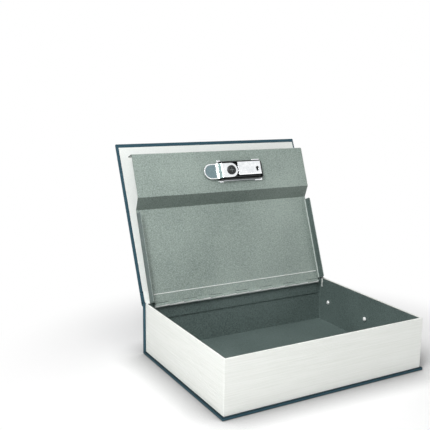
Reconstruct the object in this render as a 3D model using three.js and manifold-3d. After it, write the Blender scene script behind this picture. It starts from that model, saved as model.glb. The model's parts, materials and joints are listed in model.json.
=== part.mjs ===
// Book diversion safe: a steel cash box hidden inside a hardback book, standing open.
// Millimetres, +Z up. The book lies on its back board, with the steel lid and the front cover leaning back.
// The origin is below the middle of the page block, on the underside of the back board.
// +X runs along the hinge and +Y points to the spine.
import * as THREE from 'three';
import { mergeVertices } from 'three/addons/utils/BufferGeometryUtils.js';
import { RoundedBoxGeometry } from 'three/addons/geometries/RoundedBoxGeometry.js';
import Module from 'manifold-3d';

// Book
const blockLength = 260;
const blockDepth = 193;
const blockHeight = 59.5;
const pageWall = 2.2;
const pageCornerRadius = 0.8;
const boardThickness = 3.3;
const boardOverhang = 2.5;
const boardEdgeRadius = 1;
const paperThickness = 0.4;
const paperInset = 3;
const paperFrontInset = 5;

// Fits
const seatGap = 0.3;
const lidOpenAngle = 111.2;
const coverOpenAngle = 114;

// Steel box
const boxSteel = 1;
const boxRimDrop = 0.5;
const boxCornerRadius = 2;
const cornerNotchWidth = 4.4;
const cornerNotchDepth = 12;
const rivetShankRadius = 1.6;
const rivetHeadRadius = 2.7;
const rivetHeadHeight = 1.9;
const rivetBite = 1;
const rivetPitch = 76;
const rivetsPerWall = 3;
const rivetHeight = 29;

// Piano hinge
const pinRadius = 1.5;
const pinClearance = 0.1;
const knuckleWall = 1;
const knuckleCount = 13;
const knuckleGap = 0.4;
const leafThickness = 1;
const leafEndMargin = 5;
const pinOverhang = 0.6;
const boxLeafWidth = 17.5;
const lidLeafWidth = 14;
const barrelDrop = 0.2;

// Steel lid
const lidSteel = 1;
const lidBendRadius = 1;
const lidSideClearance = 1.9;
const lidFrontClearance = 1.1;
const lidHingeClearance = 0.8;
const lidFlangeDepth = 11.1;
const lidFlangeSetback = 4;
const lockStripWidth = 54;
const lockStripDepth = 11.6;
const slopedBandRun = 13;

// Cover joint
const clothRadius = 0.7;
const clothStandOff = 0.4;
const clothRise = 0.15;
const jointStripWidth = 12;

// Lock, seen from outside with the lid closed
const lockCentreX = 20.3;
const lockFromLidFront = 28;
const lockFaceLength = 66;
const lockFaceWidth = 35.4;
const lockFaceLevel = -0.1;
const lockEndRadius = 34.8;
const lockFaceWall = 1.6;
const lockSideWall = 2;
const trimLength = 53.5;
const trimWidth = 1.5;
const trimDrop = 0.8;

// Number dials
const dialCount = 3;
const dialPitch = 10.7;
const dialRadius = 8;
const dialWidth = 5.6;
const dialNotches = 10;
const dialNotchDepth = 0.5;
const dialLobeShare = 0.36;
const dialRise = 1.5;
const firstDialFromEnd = 11.3;
const gateDiscRadius = 4.5;
const gateDiscThickness = 0.8;
const gateWidth = 2.6;
const gateDepth = 1.3;
const hubRadius = 2.9;
const shaftRadius = 2;
const shaftClearance = 0.1;
const bearingWall = 2.4;
const windowLength = 17.4;
const windowWidth = 7.6;
const springThickness = 0.4;
const springTongueWidth = 4;
const ridgeHalfHeight = 2;
const springFoot = 1.2;

// Thumb slide and latch
const slideTravel = 4;
const thumbRadius = 13.75;
const thumbHeight = 2.9;
const thumbDish = 1.1;
const thumbRimWidth = 1.4;
const thumbEdge = 0.5;
const thumbFromEnd = 4.6;
const pocketDepth = 2.5;
const pocketWall = 1.4;
const stemLength = 5;
const stemWidth = 5;
const stemSetback = 2.2;
const barThickness = 1.2;
const barClearance = 0.4;
const flangeThickness = 0.9;
const fingerThickness = 0.6;
const fingerHeight = 1.8;
const fingerSetback = 0.4;
const tongueThickness = 1.2;
const tongueWidth = 20;
const tongueReach = 20.6;
const tongueLevel = -12.3;
const tonguePlateRadius = 9.3;
const tongueStepRun = 7;
const tongueScrewFromEnd = 16.9;
const tongueRimWidth = 1.4;
const tongueRecessDepth = 0.4;
const screwHeadRadius = 6.2;
const screwHeadHeight = 1.7;
const screwShankRadius = 1.5;
const screwCrossReach = 0.55;
const screwCrossHalfWidth = 0.13;
const screwChamferShare = 0.6;

// Inner lock frame and cover plate
const frameLength = 64;
const frameWall = 1;
const frameFootLength = 6;
const frameRightFootLength = 11;
const frameFootReach = 2.4;
const frameFootThickness = 1;
const frameCornerRadius = 1.5;
const frameSideSetback = 0.3;
const coverSteel = 0.8;
const coverPlateGap = 1.2;
const coverPlateInset = 2.3;
const coverRearSetback = 0.6;
const coverRearLeg = 4;
const resetPinRadius = 1.1;
const resetHeadRadius = 1.8;
const resetHeadHeight = 0.9;
const resetTravel = 3;
const resetFromEnd = 5.6;

// Keeper on the front wall of the box
const keeperSteel = 1.2;
const keeperWidth = 22;
const keeperLegHeight = 13;
const keeperSideClearance = 1;
const keeperLift = 0.4;
const gussetSetback = 0.2;

const wasm = await Module();
wasm.setup();

function bare(geometry) {
  const copy = geometry.clone();
  copy.deleteAttribute('normal');
  copy.deleteAttribute('uv');
  return mergeVertices(copy, 1e-4);
}

function toSolid(geometry) {
  const closed = bare(geometry);
  return new wasm.Manifold(new wasm.Mesh({
    numProp: 3,
    vertProperties: new Float32Array(closed.attributes.position.array),
    triVerts: new Uint32Array(closed.index.array),
  }));
}

function toGeometry(solid) {
  const made = solid.getMesh();
  const geometry = new THREE.BufferGeometry();
  geometry.setAttribute('position', new THREE.BufferAttribute(made.vertProperties, 3));
  geometry.setIndex(new THREE.BufferAttribute(made.triVerts, 1));
  return geometry;
}

function join(...geometries) {
  return toGeometry(geometries.map(toSolid).reduce((whole, next) => whole.add(next)));
}

function cut(geometry, ...tools) {
  return toGeometry(tools.map(toSolid).reduce((whole, tool) => whole.subtract(tool), toSolid(geometry)));
}

function common(first, second) {
  return toGeometry(toSolid(first).intersect(toSolid(second)));
}

// A box between two corners.
function block(x0, x1, y0, y1, z0, z1) {
  const geometry = new THREE.BoxGeometry(x1 - x0, y1 - y0, z1 - z0);
  return geometry.translate((x0 + x1) / 2, (y0 + y1) / 2, (z0 + z1) / 2);
}

// The same box with its edges rounded, as on a cloth-covered board.
function softBlock(x0, x1, y0, y1, z0, z1, radius) {
  const geometry = new RoundedBoxGeometry(x1 - x0, y1 - y0, z1 - z0, 2, radius);
  return geometry.translate((x0 + x1) / 2, (y0 + y1) / 2, (z0 + z1) / 2);
}

// A shape drawn in X and Y, raised from z0 to z1.
function raise(shape, z0, z1, steps = 4) {
  const settings = { depth: z1 - z0, bevelEnabled: false, curveSegments: steps };
  return new THREE.ExtrudeGeometry(shape, settings).translate(0, 0, z0);
}

// A shape drawn in Y and Z, drawn out along X from x0 to x1.
function drawOutX(shape, x0, x1, steps = 4) {
  const turn = new THREE.Matrix4().makeBasis(
    new THREE.Vector3(0, 1, 0), new THREE.Vector3(0, 0, 1), new THREE.Vector3(1, 0, 0));
  return raise(shape, x0, x1, steps).applyMatrix4(turn);
}

// A shape drawn in X and Z, drawn out along Y from y0 to y1.
function drawOutY(shape, y0, y1, steps = 4) {
  return raise(shape, -y1, -y0, steps).rotateX(Math.PI / 2);
}

function disc(x, y, radius) {
  return new THREE.Shape().absarc(x, y, radius, 0, 2 * Math.PI);
}

function rodX(x0, x1, y, z, radius, steps = 12) {
  return drawOutX(disc(y, z, radius), x0, x1, steps);
}

function rodY(y0, y1, x, z, radius, steps = 8) {
  return drawOutY(disc(x, z, radius), y0, y1, steps);
}

function rodZ(x, y, z0, z1, radius, steps = 8) {
  return raise(disc(x, y, radius), z0, z1, steps);
}

// A closed outline through corners given as [x, y, radius], each rounded with its own arc.
function outline(corners) {
  const shape = new THREE.Shape();
  const count = corners.length;
  corners.forEach(([x, y, radius = 0], i) => {
    const corner = new THREE.Vector2(x, y);
    const [beforeX, beforeY] = corners[(i + count - 1) % count];
    const [afterX, afterY] = corners[(i + 1) % count];
    const toBefore = new THREE.Vector2(beforeX, beforeY).sub(corner).normalize();
    const toAfter = new THREE.Vector2(afterX, afterY).sub(corner).normalize();
    const half = Math.acos(toBefore.dot(toAfter)) / 2;
    const start = corner.clone().addScaledVector(toBefore, radius / Math.tan(half));
    if (i === 0) shape.moveTo(start.x, start.y);
    else shape.lineTo(start.x, start.y);
    if (radius === 0) return;
    const end = corner.clone().addScaledVector(toAfter, radius / Math.tan(half));
    const inward = toBefore.clone().add(toAfter).normalize();
    const centre = corner.clone().addScaledVector(inward, radius / Math.sin(half));
    const from = start.sub(centre).angle();
    const to = end.sub(centre).angle();
    shape.absarc(centre.x, centre.y, radius, from, to, toBefore.cross(toAfter) > 0);
  });
  return shape;
}

function rectangle(x0, x1, y0, y1, radius = 0) {
  return outline([[x0, y0, radius], [x1, y0, radius], [x1, y1, radius], [x0, y1, radius]]);
}

// The section of a folded sheet. The path is one face of the sheet, and the thickness lies to its left.
function foldedSheet(path, thickness, radius) {
  const points = path.map(([x, y]) => new THREE.Vector2(x, y));
  const last = points.length - 1;
  const near = [];
  const far = [];
  points.forEach((point, i) => {
    const before = points[Math.max(i - 1, 0)];
    const after = points[Math.min(i + 1, last)];
    const arriving = (i === 0 ? after.clone().sub(point) : point.clone().sub(before)).normalize();
    const leaving = (i === last ? arriving.clone() : after.clone().sub(point)).normalize();
    const leftOfArriving = new THREE.Vector2(-arriving.y, arriving.x);
    const leftOfLeaving = new THREE.Vector2(-leaving.y, leaving.x);
    const mitre = leftOfArriving.clone().add(leftOfLeaving)
      .multiplyScalar(thickness / (1 + leftOfArriving.dot(leftOfLeaving)));
    const turn = arriving.cross(leaving);
    const folded = i > 0 && i < last;
    const nearRadius = folded ? (turn > 0 ? radius + thickness : radius) : 0;
    const farRadius = folded ? (turn > 0 ? radius : radius + thickness) : 0;
    near.push([point.x, point.y, nearRadius]);
    far.push([point.x + mitre.x, point.y + mitre.y, farRadius]);
  });
  return outline([...near, ...far.reverse()]);
}

function paint(color, roughness, metalness) {
  return new THREE.MeshStandardMaterial({ color, roughness, metalness });
}

const bookcloth = paint(0x2f4c59, 0.85, 0);
const pageWhite = paint(0xeeeeea, 0.7, 0);
const paperWhite = paint(0xf2f3f0, 0.8, 0);
const greyPaint = paint(0x8f9c95, 0.55, 0.2);
const brightSteel = paint(0xc9cdcf, 0.3, 0.9);
const chromed = paint(0xdfe2e4, 0.15, 1);
const castGrey = paint(0x7c8080, 0.5, 0.7);
const brassColour = paint(0xd9c46a, 0.3, 0.9);
const dialBlack = paint(0x161617, 0.4, 0);
const screwDark = paint(0x4a4c4e, 0.4, 0.8);

const book = new THREE.Group();
const lid = new THREE.Group();
const cover = new THREE.Group();

function add(group, name, geometry, material) {
  const mesh = new THREE.Mesh(bare(geometry), material);
  mesh.name = name;
  group.add(mesh);
}

// Levels and faces of the book
const blockBottom = boardThickness;
const blockTop = blockBottom + blockHeight;
const halfLength = blockLength / 2;
const halfDepth = blockDepth / 2;
const boardHalfLength = halfLength + boardOverhang;
const boardFront = -halfDepth - boardOverhang;
const spineInside = halfDepth + seatGap;
const spineOutside = spineInside + boardThickness;

// Faces of the steel box
const boxOutsideX = halfLength - pageWall - seatGap;
const boxInsideX = boxOutsideX - boxSteel;
const boxOutsideFront = -halfDepth + pageWall + seatGap;
const boxInsideFront = boxOutsideFront + boxSteel;
const boxInsideBack = halfDepth - boxSteel;
const boxBottom = blockBottom + seatGap;
const boxTop = blockTop - boxRimDrop;
const rivetHoleRadius = rivetShankRadius + seatGap / 2;
const rivetY = Array.from({ length: rivetsPerWall }, (_, i) => (i - (rivetsPerWall - 1) / 2) * rivetPitch);
const rivetZ = blockBottom + rivetHeight;

// The hinge's axis, its barrel and its leaves
const boreRadius = pinRadius + pinClearance;
const knuckleRadius = boreRadius + knuckleWall;
const hingeY = boxInsideBack - seatGap - knuckleRadius;
const hingeZ = blockTop - barrelDrop - knuckleRadius;
const lidHalfLength = boxInsideX - lidSideClearance;
const leafHalfLength = lidHalfLength - leafEndMargin;
const knucklePitch = 2 * leafHalfLength / knuckleCount;

// The lid and the lock are drawn as they lie when the lid is closed, from the hinge's axis.
const lidOutside = knuckleRadius;
const lidInside = lidOutside - lidSteel;
const lidRear = -knuckleRadius - lidHingeClearance;
const lidFront = boxInsideFront + lidFrontClearance - hingeY;
const stripOutside = lidOutside - lockStripDepth;
const stripInside = stripOutside - lidSteel;
const bandFoot = lidFront + lockStripWidth;

// The back wall ends just under the open lid's rear edge, and so it stops the lid.
const lean = THREE.MathUtils.degToRad(lidOpenAngle - 90);
const boxBackTop = hingeZ - lidRear * Math.cos(lean) - lidOutside * Math.sin(lean) - seatGap;

const clothY = spineOutside + clothStandOff;
const clothZ = blockTop + clothRise;

// The lock's housing and dials
const lockY = lidFront + lockFromLidFront;
const lockLeft = lockCentreX - lockFaceLength / 2;
const lockRight = lockCentreX + lockFaceLength / 2;
const lockFoot = stripOutside + seatGap;
const dialZ = lockFaceLevel + dialRise - dialRadius;
const dialX = Array.from({ length: dialCount }, (_, i) => lockLeft + firstDialFromEnd + i * dialPitch);
const dialGap = dialPitch - dialWidth;
const gateX = dialX.map((x) => x + dialPitch / 2);
const bearingX = [
  dialX[0] - dialWidth / 2 - seatGap - bearingWall,
  dialX[dialCount - 1] + dialWidth / 2 + dialGap,
];

// From the dials outwards: the slide's bar, the legs of the cover plate, the frame
const barInside = lockY + dialRadius + barClearance;
const barOutside = barInside + barThickness;
const coverLegOutside = barOutside - lockY + seatGap + coverSteel;
const frameInside = coverLegOutside + seatGap;
const frameOutside = frameInside + frameWall;
const frameLeft = lockCentreX - frameLength / 2;
const frameRight = lockCentreX + frameLength / 2;
const frameLow = stripInside - seatGap - frameFootThickness;
const frameHigh = stripOutside;
const coverRear = lockY + dialRadius - coverRearSetback;

// Down from the dials: the slide's flange, then the tongue's plate and the cover plate
const flangeHigh = dialZ - dialRadius - barClearance;
const flangeLow = flangeHigh - flangeThickness;
const plateTop = flangeLow - seatGap;
const screwX = frameLeft + tongueScrewFromEnd;
const flangeRight = screwX + tonguePlateRadius - 1;
const barHalfWidth = barOutside - lockY;
const endBow = lockEndRadius - Math.sqrt(lockEndRadius ** 2 - barHalfWidth ** 2);
const barLeft = lockLeft + endBow + lockSideWall + seatGap + slideTravel;
const tongueTip = frameLeft - tongueReach;
const stepRight = frameLeft + frameWall + slideTravel;
const stepLeft = stepRight - tongueStepRun;
const coverLeft = screwX + tonguePlateRadius + coverPlateGap;
const coverRight = frameRight - coverPlateInset;
const resetX = coverRight - resetFromEnd;

// The thumb piece, its pocket and its stem
const thumbX = lockRight - thumbFromEnd;
const pocketX = thumbX - slideTravel / 2;
const pocketRadius = thumbRadius + slideTravel / 2 + seatGap;
const stemX = thumbX - stemSetback;
const barRight = stemX + stemLength / 2;
const armTop = lockFaceLevel - pocketDepth - pocketWall - seatGap;

// The keeper meets the tongue where the closed lid brings it
const keeperTop = hingeZ + tongueLevel + keeperLift + keeperSteel;
const keeperTip = hingeY + lockY;
const keeperRight = tongueTip - keeperSideClearance;
const keeperLeft = keeperRight - keeperWidth;
const keeperRivetX = [keeperLeft + keeperWidth / 3, keeperRight - keeperWidth / 5];
const keeperRivetZ = keeperTop - keeperLegHeight * 0.6;

// A domed rivet along +Z: its head above z = 0 and its shank below.
function rivet(shankLength) {
  const profile = [[0, -shankLength], [rivetShankRadius, -shankLength], [rivetShankRadius, 0],
    [rivetHeadRadius, 0], [rivetHeadRadius * 0.9, rivetHeadHeight * 0.45],
    [rivetHeadRadius * 0.6, rivetHeadHeight * 0.8], [0, rivetHeadHeight]];
  const points = profile.map(([radius, height]) => new THREE.Vector2(radius, height));
  return new THREE.LatheGeometry(points, 12).rotateX(Math.PI / 2);
}

function makeBoards() {
  add(book, 'back_cover_board', softBlock(-boardHalfLength, boardHalfLength, boardFront, halfDepth,
    0, boardThickness, boardEdgeRadius), bookcloth);
  add(book, 'spine_board', softBlock(-boardHalfLength, boardHalfLength, spineInside, spineOutside,
    0, blockTop, boardEdgeRadius), bookcloth);
}

// Three walls of pages in one moulding, open to the spine, with blind holes for the box's rivets.
function makePageBlock() {
  const inside = halfLength - pageWall;
  const walls = raise(outline([
    [-halfLength, halfDepth], [-halfLength, -halfDepth, pageCornerRadius],
    [halfLength, -halfDepth, pageCornerRadius], [halfLength, halfDepth],
    [inside, halfDepth], [inside, -halfDepth + pageWall],
    [-inside, -halfDepth + pageWall], [-inside, halfDepth],
  ]), blockBottom, blockTop, 3);
  const reach = boxOutsideX + 2 * seatGap + rivetBite;
  const holes = rivetY.map((y) => rodX(-reach, reach, y, rivetZ, rivetHoleRadius, 6));
  add(book, 'page_block', cut(walls, ...holes), pageWhite);
}

// A tray folded from sheet, lower at the back for the lid, with a notch at each rear corner of its rim.
function makeSteelBox() {
  const outside = rectangle(-boxOutsideX, boxOutsideX, boxOutsideFront, halfDepth, boxCornerRadius);
  const inside = rectangle(-boxInsideX, boxInsideX, boxInsideFront, boxInsideBack,
    boxCornerRadius - boxSteel);
  const backCut = block(-boxOutsideX - 1, boxOutsideX + 1, boxInsideBack - boxCornerRadius, halfDepth + 1,
    boxBackTop, boxTop + 1);
  const notch = (x0, x1) => block(x0, x1, boxInsideBack - cornerNotchWidth, boxInsideBack - boxCornerRadius,
    boxTop - cornerNotchDepth, boxTop + 1);
  const wallHole = (y) => rodX(-halfLength, halfLength, y, rivetZ, rivetHoleRadius, 6);
  const frontHole = (x) => rodY(boxOutsideFront - 1, boxInsideFront + 1, x, keeperRivetZ, rivetHoleRadius, 6);
  const shell = cut(
    raise(outside, boxBottom, boxTop),
    raise(inside, boxBottom + boxSteel, boxTop + 1),
    backCut,
    notch(-boxOutsideX - 1, -boxInsideX + boxSteel),
    notch(boxInsideX - boxSteel, boxOutsideX + 1),
    ...rivetY.map(wallHole),
    ...keeperRivetX.map(frontHole),
  );
  add(book, 'steel_box', shell, greyPaint);
}

function makeWallRivets() {
  const shankLength = seatGap + boxSteel + seatGap + rivetBite;
  rivetY.forEach((y, i) => {
    const left = rivet(shankLength).rotateY(Math.PI / 2).translate(-boxInsideX + seatGap, y, rivetZ);
    const right = rivet(shankLength).rotateY(-Math.PI / 2).translate(boxInsideX - seatGap, y, rivetZ);
    add(book, `left_wall_rivet_${i + 1}`, left, brightSteel);
    add(book, `right_wall_rivet_${i + 1}`, right, brightSteel);
  });
}

// One leaf of the hinge about the X axis: a plate that runs to y = -width, and every second knuckle.
function hingeLeaf(width, plateLow, first, tabEnd) {
  const plateHigh = plateLow + leafThickness;
  const clear = knuckleRadius + knuckleGap;
  const pieces = [block(-leafHalfLength, leafHalfLength, -width, -clear, plateLow, plateHigh)];
  for (let i = first; i < knuckleCount; i += 2) {
    const x0 = -leafHalfLength + i * knucklePitch + knuckleGap / 2;
    const x1 = x0 + knucklePitch - knuckleGap;
    pieces.push(block(x0, x1, -clear - 1, tabEnd, plateLow, plateHigh));
    pieces.push(rodX(x0, x1, 0, 0, knuckleRadius, 10));
  }
  return cut(join(...pieces), rodX(-blockLength, blockLength, 0, 0, boreRadius, 10));
}

function makeHinge() {
  const boxLeaf = hingeLeaf(boxLeafWidth, -knuckleRadius, 0, 0).rotateX(Math.PI / 2);
  add(book, 'box_hinge_leaf', boxLeaf.translate(0, hingeY, hingeZ), greyPaint);
  const pinHalfLength = leafHalfLength + pinOverhang;
  add(book, 'hinge_pin', rodX(-pinHalfLength, pinHalfLength, hingeY, hingeZ, pinRadius, 10), brightSteel);
  const lidPlateLow = lidInside - seatGap - leafThickness;
  const lidLeaf = hingeLeaf(lidLeafWidth, lidPlateLow, 1, -boreRadius - knuckleWall / 3);
  add(lid, 'lid_hinge_leaf', lidLeaf, greyPaint);
}

// The shelf that the thrown tongue slides under, on a leg against the front wall, with a gusset.
function makeKeeper() {
  const legY = boxInsideFront + seatGap;
  const legBottom = keeperTop - keeperLegHeight;
  const section = foldedSheet([[keeperTip, keeperTop], [legY, keeperTop], [legY, legBottom]], keeperSteel, 1);
  const gussetTop = keeperTop - keeperSteel + gussetSetback;
  const gussetBack = legY + keeperSteel / 2;
  const gusset = outline([[gussetBack, gussetTop], [gussetBack, legBottom + 1], [keeperTip - 2, gussetTop]]);
  const bracket = join(
    drawOutX(section, keeperLeft, keeperRight),
    drawOutX(gusset, keeperLeft, keeperLeft + keeperSteel),
  );
  const holes = keeperRivetX.map((x) => rodY(legY - 1, legY + keeperSteel + 1, x, keeperRivetZ,
    rivetHoleRadius, 6));
  add(book, 'keeper_bracket', cut(bracket, ...holes), greyPaint);
  const shankLength = seatGap + keeperSteel + seatGap + boxSteel;
  keeperRivetX.forEach((x, i) => {
    const one = rivet(shankLength).rotateX(-Math.PI / 2);
    one.translate(x, legY + keeperSteel + seatGap, keeperRivetZ);
    add(book, `keeper_rivet_${i + 1}`, one, brightSteel);
  });
}

// One folded sheet from the hinge to the front lip, with a sunk strip for the lock and two side flanges.
function makeLidPanel() {
  const section = foldedSheet([
    [lidRear, lidOutside], [bandFoot + slopedBandRun, lidOutside], [bandFoot, stripOutside],
    [lidFront + lidSteel, stripOutside], [lidFront + lidSteel, lidOutside],
  ], lidSteel, lidBendRadius);
  const flangeFront = bandFoot + slopedBandRun + lidFlangeSetback;
  const flangeLow = lidInside - lidFlangeDepth;
  const flange = outline([[-lidFlangeSetback, lidOutside], [flangeFront, lidOutside],
    [flangeFront, flangeLow, lidFlangeSetback / 2], [-lidFlangeSetback, flangeLow, lidFlangeSetback / 2]]);
  const sheet = join(drawOutX(section, -lidHalfLength, lidHalfLength, 2),
    drawOutX(flange, -lidHalfLength, -lidHalfLength + lidSteel),
    drawOutX(flange, lidHalfLength - lidSteel, lidHalfLength));
  const opening = block(frameLeft - seatGap, frameRight + seatGap, lockY - frameOutside - seatGap,
    lockY + frameOutside + seatGap, stripInside - 1, stripOutside + 1);
  add(lid, 'lid_panel', cut(sheet, opening), greyPaint);
}

// The plan of the lock's face: two straight sides and two bowed ends.
function lockPlan(inset) {
  const radius = lockEndRadius - inset;
  const spread = Math.asin((lockFaceWidth / 2 - inset) / radius);
  const centreShift = lockFaceLength / 2 - lockEndRadius;
  const shape = new THREE.Shape();
  shape.absarc(lockCentreX + centreShift, lockY, radius, -spread, spread);
  shape.absarc(lockCentreX - centreShift, lockY, radius, Math.PI - spread, Math.PI + spread);
  return shape;
}

// A cast cover with a dial window for each number, a round pocket for the thumb slide and two bearing walls.
function makeLockHousing() {
  const body = raise(lockPlan(0), lockFoot, lockFaceLevel, 6);
  const cavity = raise(lockPlan(lockSideWall), lockFoot - 1, lockFaceLevel - lockFaceWall, 6);
  const pocketFloor = lockFaceLevel - pocketDepth;
  const bossFoot = pocketFloor - pocketWall;
  const boss = common(rodZ(pocketX, lockY, bossFoot, lockFaceLevel, pocketRadius + pocketWall, 16),
    raise(lockPlan(0), lockFoot, lockFaceLevel + 1, 6));
  const walls = bearingX.map((x) => block(x, x + bearingWall, lockY - frameInside + 2 * seatGap,
    lockY + dialRadius, dialZ - shaftRadius - 1, lockFaceLevel - 1));
  const windowFoot = lockFaceLevel - lockFaceWall - 1;
  const windows = dialX.map((x) => block(x - windowWidth / 2, x + windowWidth / 2,
    lockY - windowLength / 2, lockY + windowLength / 2, windowFoot, lockFaceLevel + 1));
  const pocket = rodZ(pocketX, lockY, pocketFloor, lockFaceLevel + 1, pocketRadius, 16);
  const slotHalfWidth = stemWidth / 2 + seatGap;
  const slot = block(stemX - stemLength / 2 - slideTravel - seatGap, stemX + stemLength / 2 + seatGap,
    lockY - slotHalfWidth, lockY + slotHalfWidth, bossFoot - 1, pocketFloor + 1);
  const shaftBore = rodX(bearingX[0] - 1, bearingX[1] + bearingWall + 1, lockY, dialZ,
    shaftRadius + shaftClearance);
  const shell = join(cut(body, cavity), boss, ...walls);
  add(lid, 'lock_housing', cut(shell, pocket, slot, shaftBore, ...windows), castGrey);
}

// A narrow strip along each straight side of the housing.
function makeTrims() {
  const inner = lockFaceWidth / 2 + seatGap;
  const outer = inner + trimWidth;
  const x0 = lockCentreX - trimLength / 2;
  const x1 = lockCentreX + trimLength / 2;
  const strip = (y0, y1) => softBlock(x0, x1, y0, y1, lockFoot, lockFaceLevel - trimDrop, trimWidth / 4);
  add(lid, 'front_trim', strip(lockY - outer, lockY - inner), brassColour);
  add(lid, 'rear_trim', strip(lockY + inner, lockY + outer), brassColour);
}

// A ten-sided number wheel, its hub, and the gate disc that the slide's finger has to pass.
function makeDials() {
  const step = 2 * Math.PI / dialNotches;
  const rim = new THREE.Shape();
  for (let i = 0; i < dialNotches; i += 1) {
    const middle = i * step + Math.PI / 2;
    const valley = middle + step / 2;
    const valleyRadius = dialRadius - dialNotchDepth;
    rim.absarc(0, 0, dialRadius, middle - step * dialLobeShare, middle + step * dialLobeShare);
    rim.lineTo(valleyRadius * Math.cos(valley), valleyRadius * Math.sin(valley));
  }
  const hubEnd = dialWidth / 2 + dialGap - seatGap;
  const gateMiddle = dialPitch / 2;
  const wheel = cut(
    join(drawOutX(rim, -dialWidth / 2, dialWidth / 2, 2), rodX(dialWidth / 2 - 1, hubEnd, 0, 0, hubRadius),
      rodX(gateMiddle - gateDiscThickness / 2, gateMiddle + gateDiscThickness / 2, 0, 0, gateDiscRadius)),
    rodX(-dialWidth, dialPitch, 0, 0, shaftRadius + shaftClearance),
    block(gateMiddle - gateDiscThickness, gateMiddle + gateDiscThickness, gateDiscRadius - gateDepth,
      gateDiscRadius + 1, -gateWidth / 2, gateWidth / 2),
  );
  dialX.forEach((x, i) => {
    const one = wheel.clone().translate(x, lockY, dialZ);
    add(lid, `number_dial_${i + 1}`, one, dialBlack);
  });
  const shaft = rodX(bearingX[0] + seatGap, bearingX[1] + bearingWall - seatGap, lockY, dialZ, shaftRadius);
  add(lid, 'dial_shaft', shaft, brightSteel);
}

// A comb of three sprung tongues, each with a ridge that lies in a dial's notch.
function makeDetentSpring() {
  const back = lockY - frameInside + seatGap + springThickness;
  const ridge = lockY - dialRadius - seatGap - shaftClearance;
  const top = lockFaceLevel - lockFaceWall - seatGap;
  const section = foldedSheet([
    [back, dialZ - ridgeHalfHeight - springFoot], [back, dialZ - ridgeHalfHeight], [ridge, dialZ],
    [back, dialZ + ridgeHalfHeight], [back, top],
  ], springThickness, 0);
  const tongues = dialX.map((x) => drawOutX(section, x - springTongueWidth / 2, x + springTongueWidth / 2));
  const spine = block(dialX[0] - springTongueWidth / 2, dialX[dialCount - 1] + springTongueWidth / 2,
    back - springThickness, back, dialZ + ridgeHalfHeight + springThickness, top);
  add(lid, 'detent_spring', join(...tongues, spine), brightSteel);
}

// The frame that lines the opening: deep on three sides, with a foot at each corner that holds the sheet
// against the housing.
function makeLockFrame() {
  const plan = rectangle(frameLeft, frameRight, lockY - frameOutside, lockY + frameOutside,
    frameCornerRadius);
  const ring = cut(
    raise(plan, frameLow, frameHigh, 2),
    block(frameLeft + frameWall, frameRight - frameWall, lockY - frameInside, lockY + frameInside,
      frameLow - 1, frameHigh + 1),
  );
  const footTop = stripInside - seatGap;
  const feet = [];
  const sides = [];
  for (const side of [-1, 1]) {
    const inner = lockY + side * frameInside;
    const outer = lockY + side * frameOutside;
    sides.push(block(frameLeft + frameCornerRadius, frameRight - frameCornerRadius,
      Math.min(inner, outer), Math.max(inner, outer), plateTop + frameSideSetback, frameHigh));
    const near = lockY + side * (frameOutside - frameWall / 2);
    const far = lockY + side * (frameOutside + frameFootReach);
    const spans = [[frameLeft, frameLeft + frameFootLength], [frameRight - frameRightFootLength, frameRight]];
    for (const [start, end] of spans) {
      feet.push(block(start, end, Math.min(near, far), Math.max(near, far),
        footTop - frameFootThickness, footTop));
    }
  }
  const endWall = block(frameRight - frameWall, frameRight, lockY - frameOutside + frameCornerRadius,
    lockY + frameOutside - frameCornerRadius, plateTop + frameSideSetback, frameHigh);
  add(lid, 'lock_frame', join(ring, endWall, ...sides, ...feet), chromed);
}

// A channel over the end of the mechanism, held by its long leg, with a slot for the reset lever.
function makeCoverPlate() {
  const low = plateTop - coverSteel;
  const high = frameHigh - 1;
  const section = foldedSheet([[lockY - coverLegOutside, high], [lockY - coverLegOutside, low],
    [coverRear, low], [coverRear, low + coverRearLeg]], coverSteel, 0.5);
  const slot = raise(rectangle(resetX - resetPinRadius - seatGap, resetX + resetPinRadius + seatGap,
    lockY - resetTravel / 2 - resetPinRadius - seatGap, lockY + resetTravel / 2 + resetPinRadius + seatGap,
    resetPinRadius), low - 1, plateTop + 1, 3);
  add(lid, 'lock_cover_plate', cut(drawOutX(section, coverLeft, coverRight, 2), slot), chromed);
}

// The small lever that sets a new number: a pin held in the slot by a head and a collar.
function makeResetLever() {
  const low = plateTop - coverSteel - seatGap;
  const collarLow = plateTop + seatGap;
  const profile = [[0, low - resetHeadHeight], [resetHeadRadius * 0.8, low - resetHeadHeight],
    [resetHeadRadius, low - resetHeadHeight / 2], [resetHeadRadius, low], [resetPinRadius, low],
    [resetPinRadius, collarLow], [resetHeadRadius, collarLow], [resetHeadRadius, collarLow + resetHeadHeight],
    [0, collarLow + resetHeadHeight]].map(([radius, height]) => new THREE.Vector2(radius, height));
  const pin = new THREE.LatheGeometry(profile, 12).rotateX(Math.PI / 2);
  add(lid, 'reset_lever', pin.translate(resetX, lockY - resetTravel / 2, 0), screwDark);
}

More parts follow.
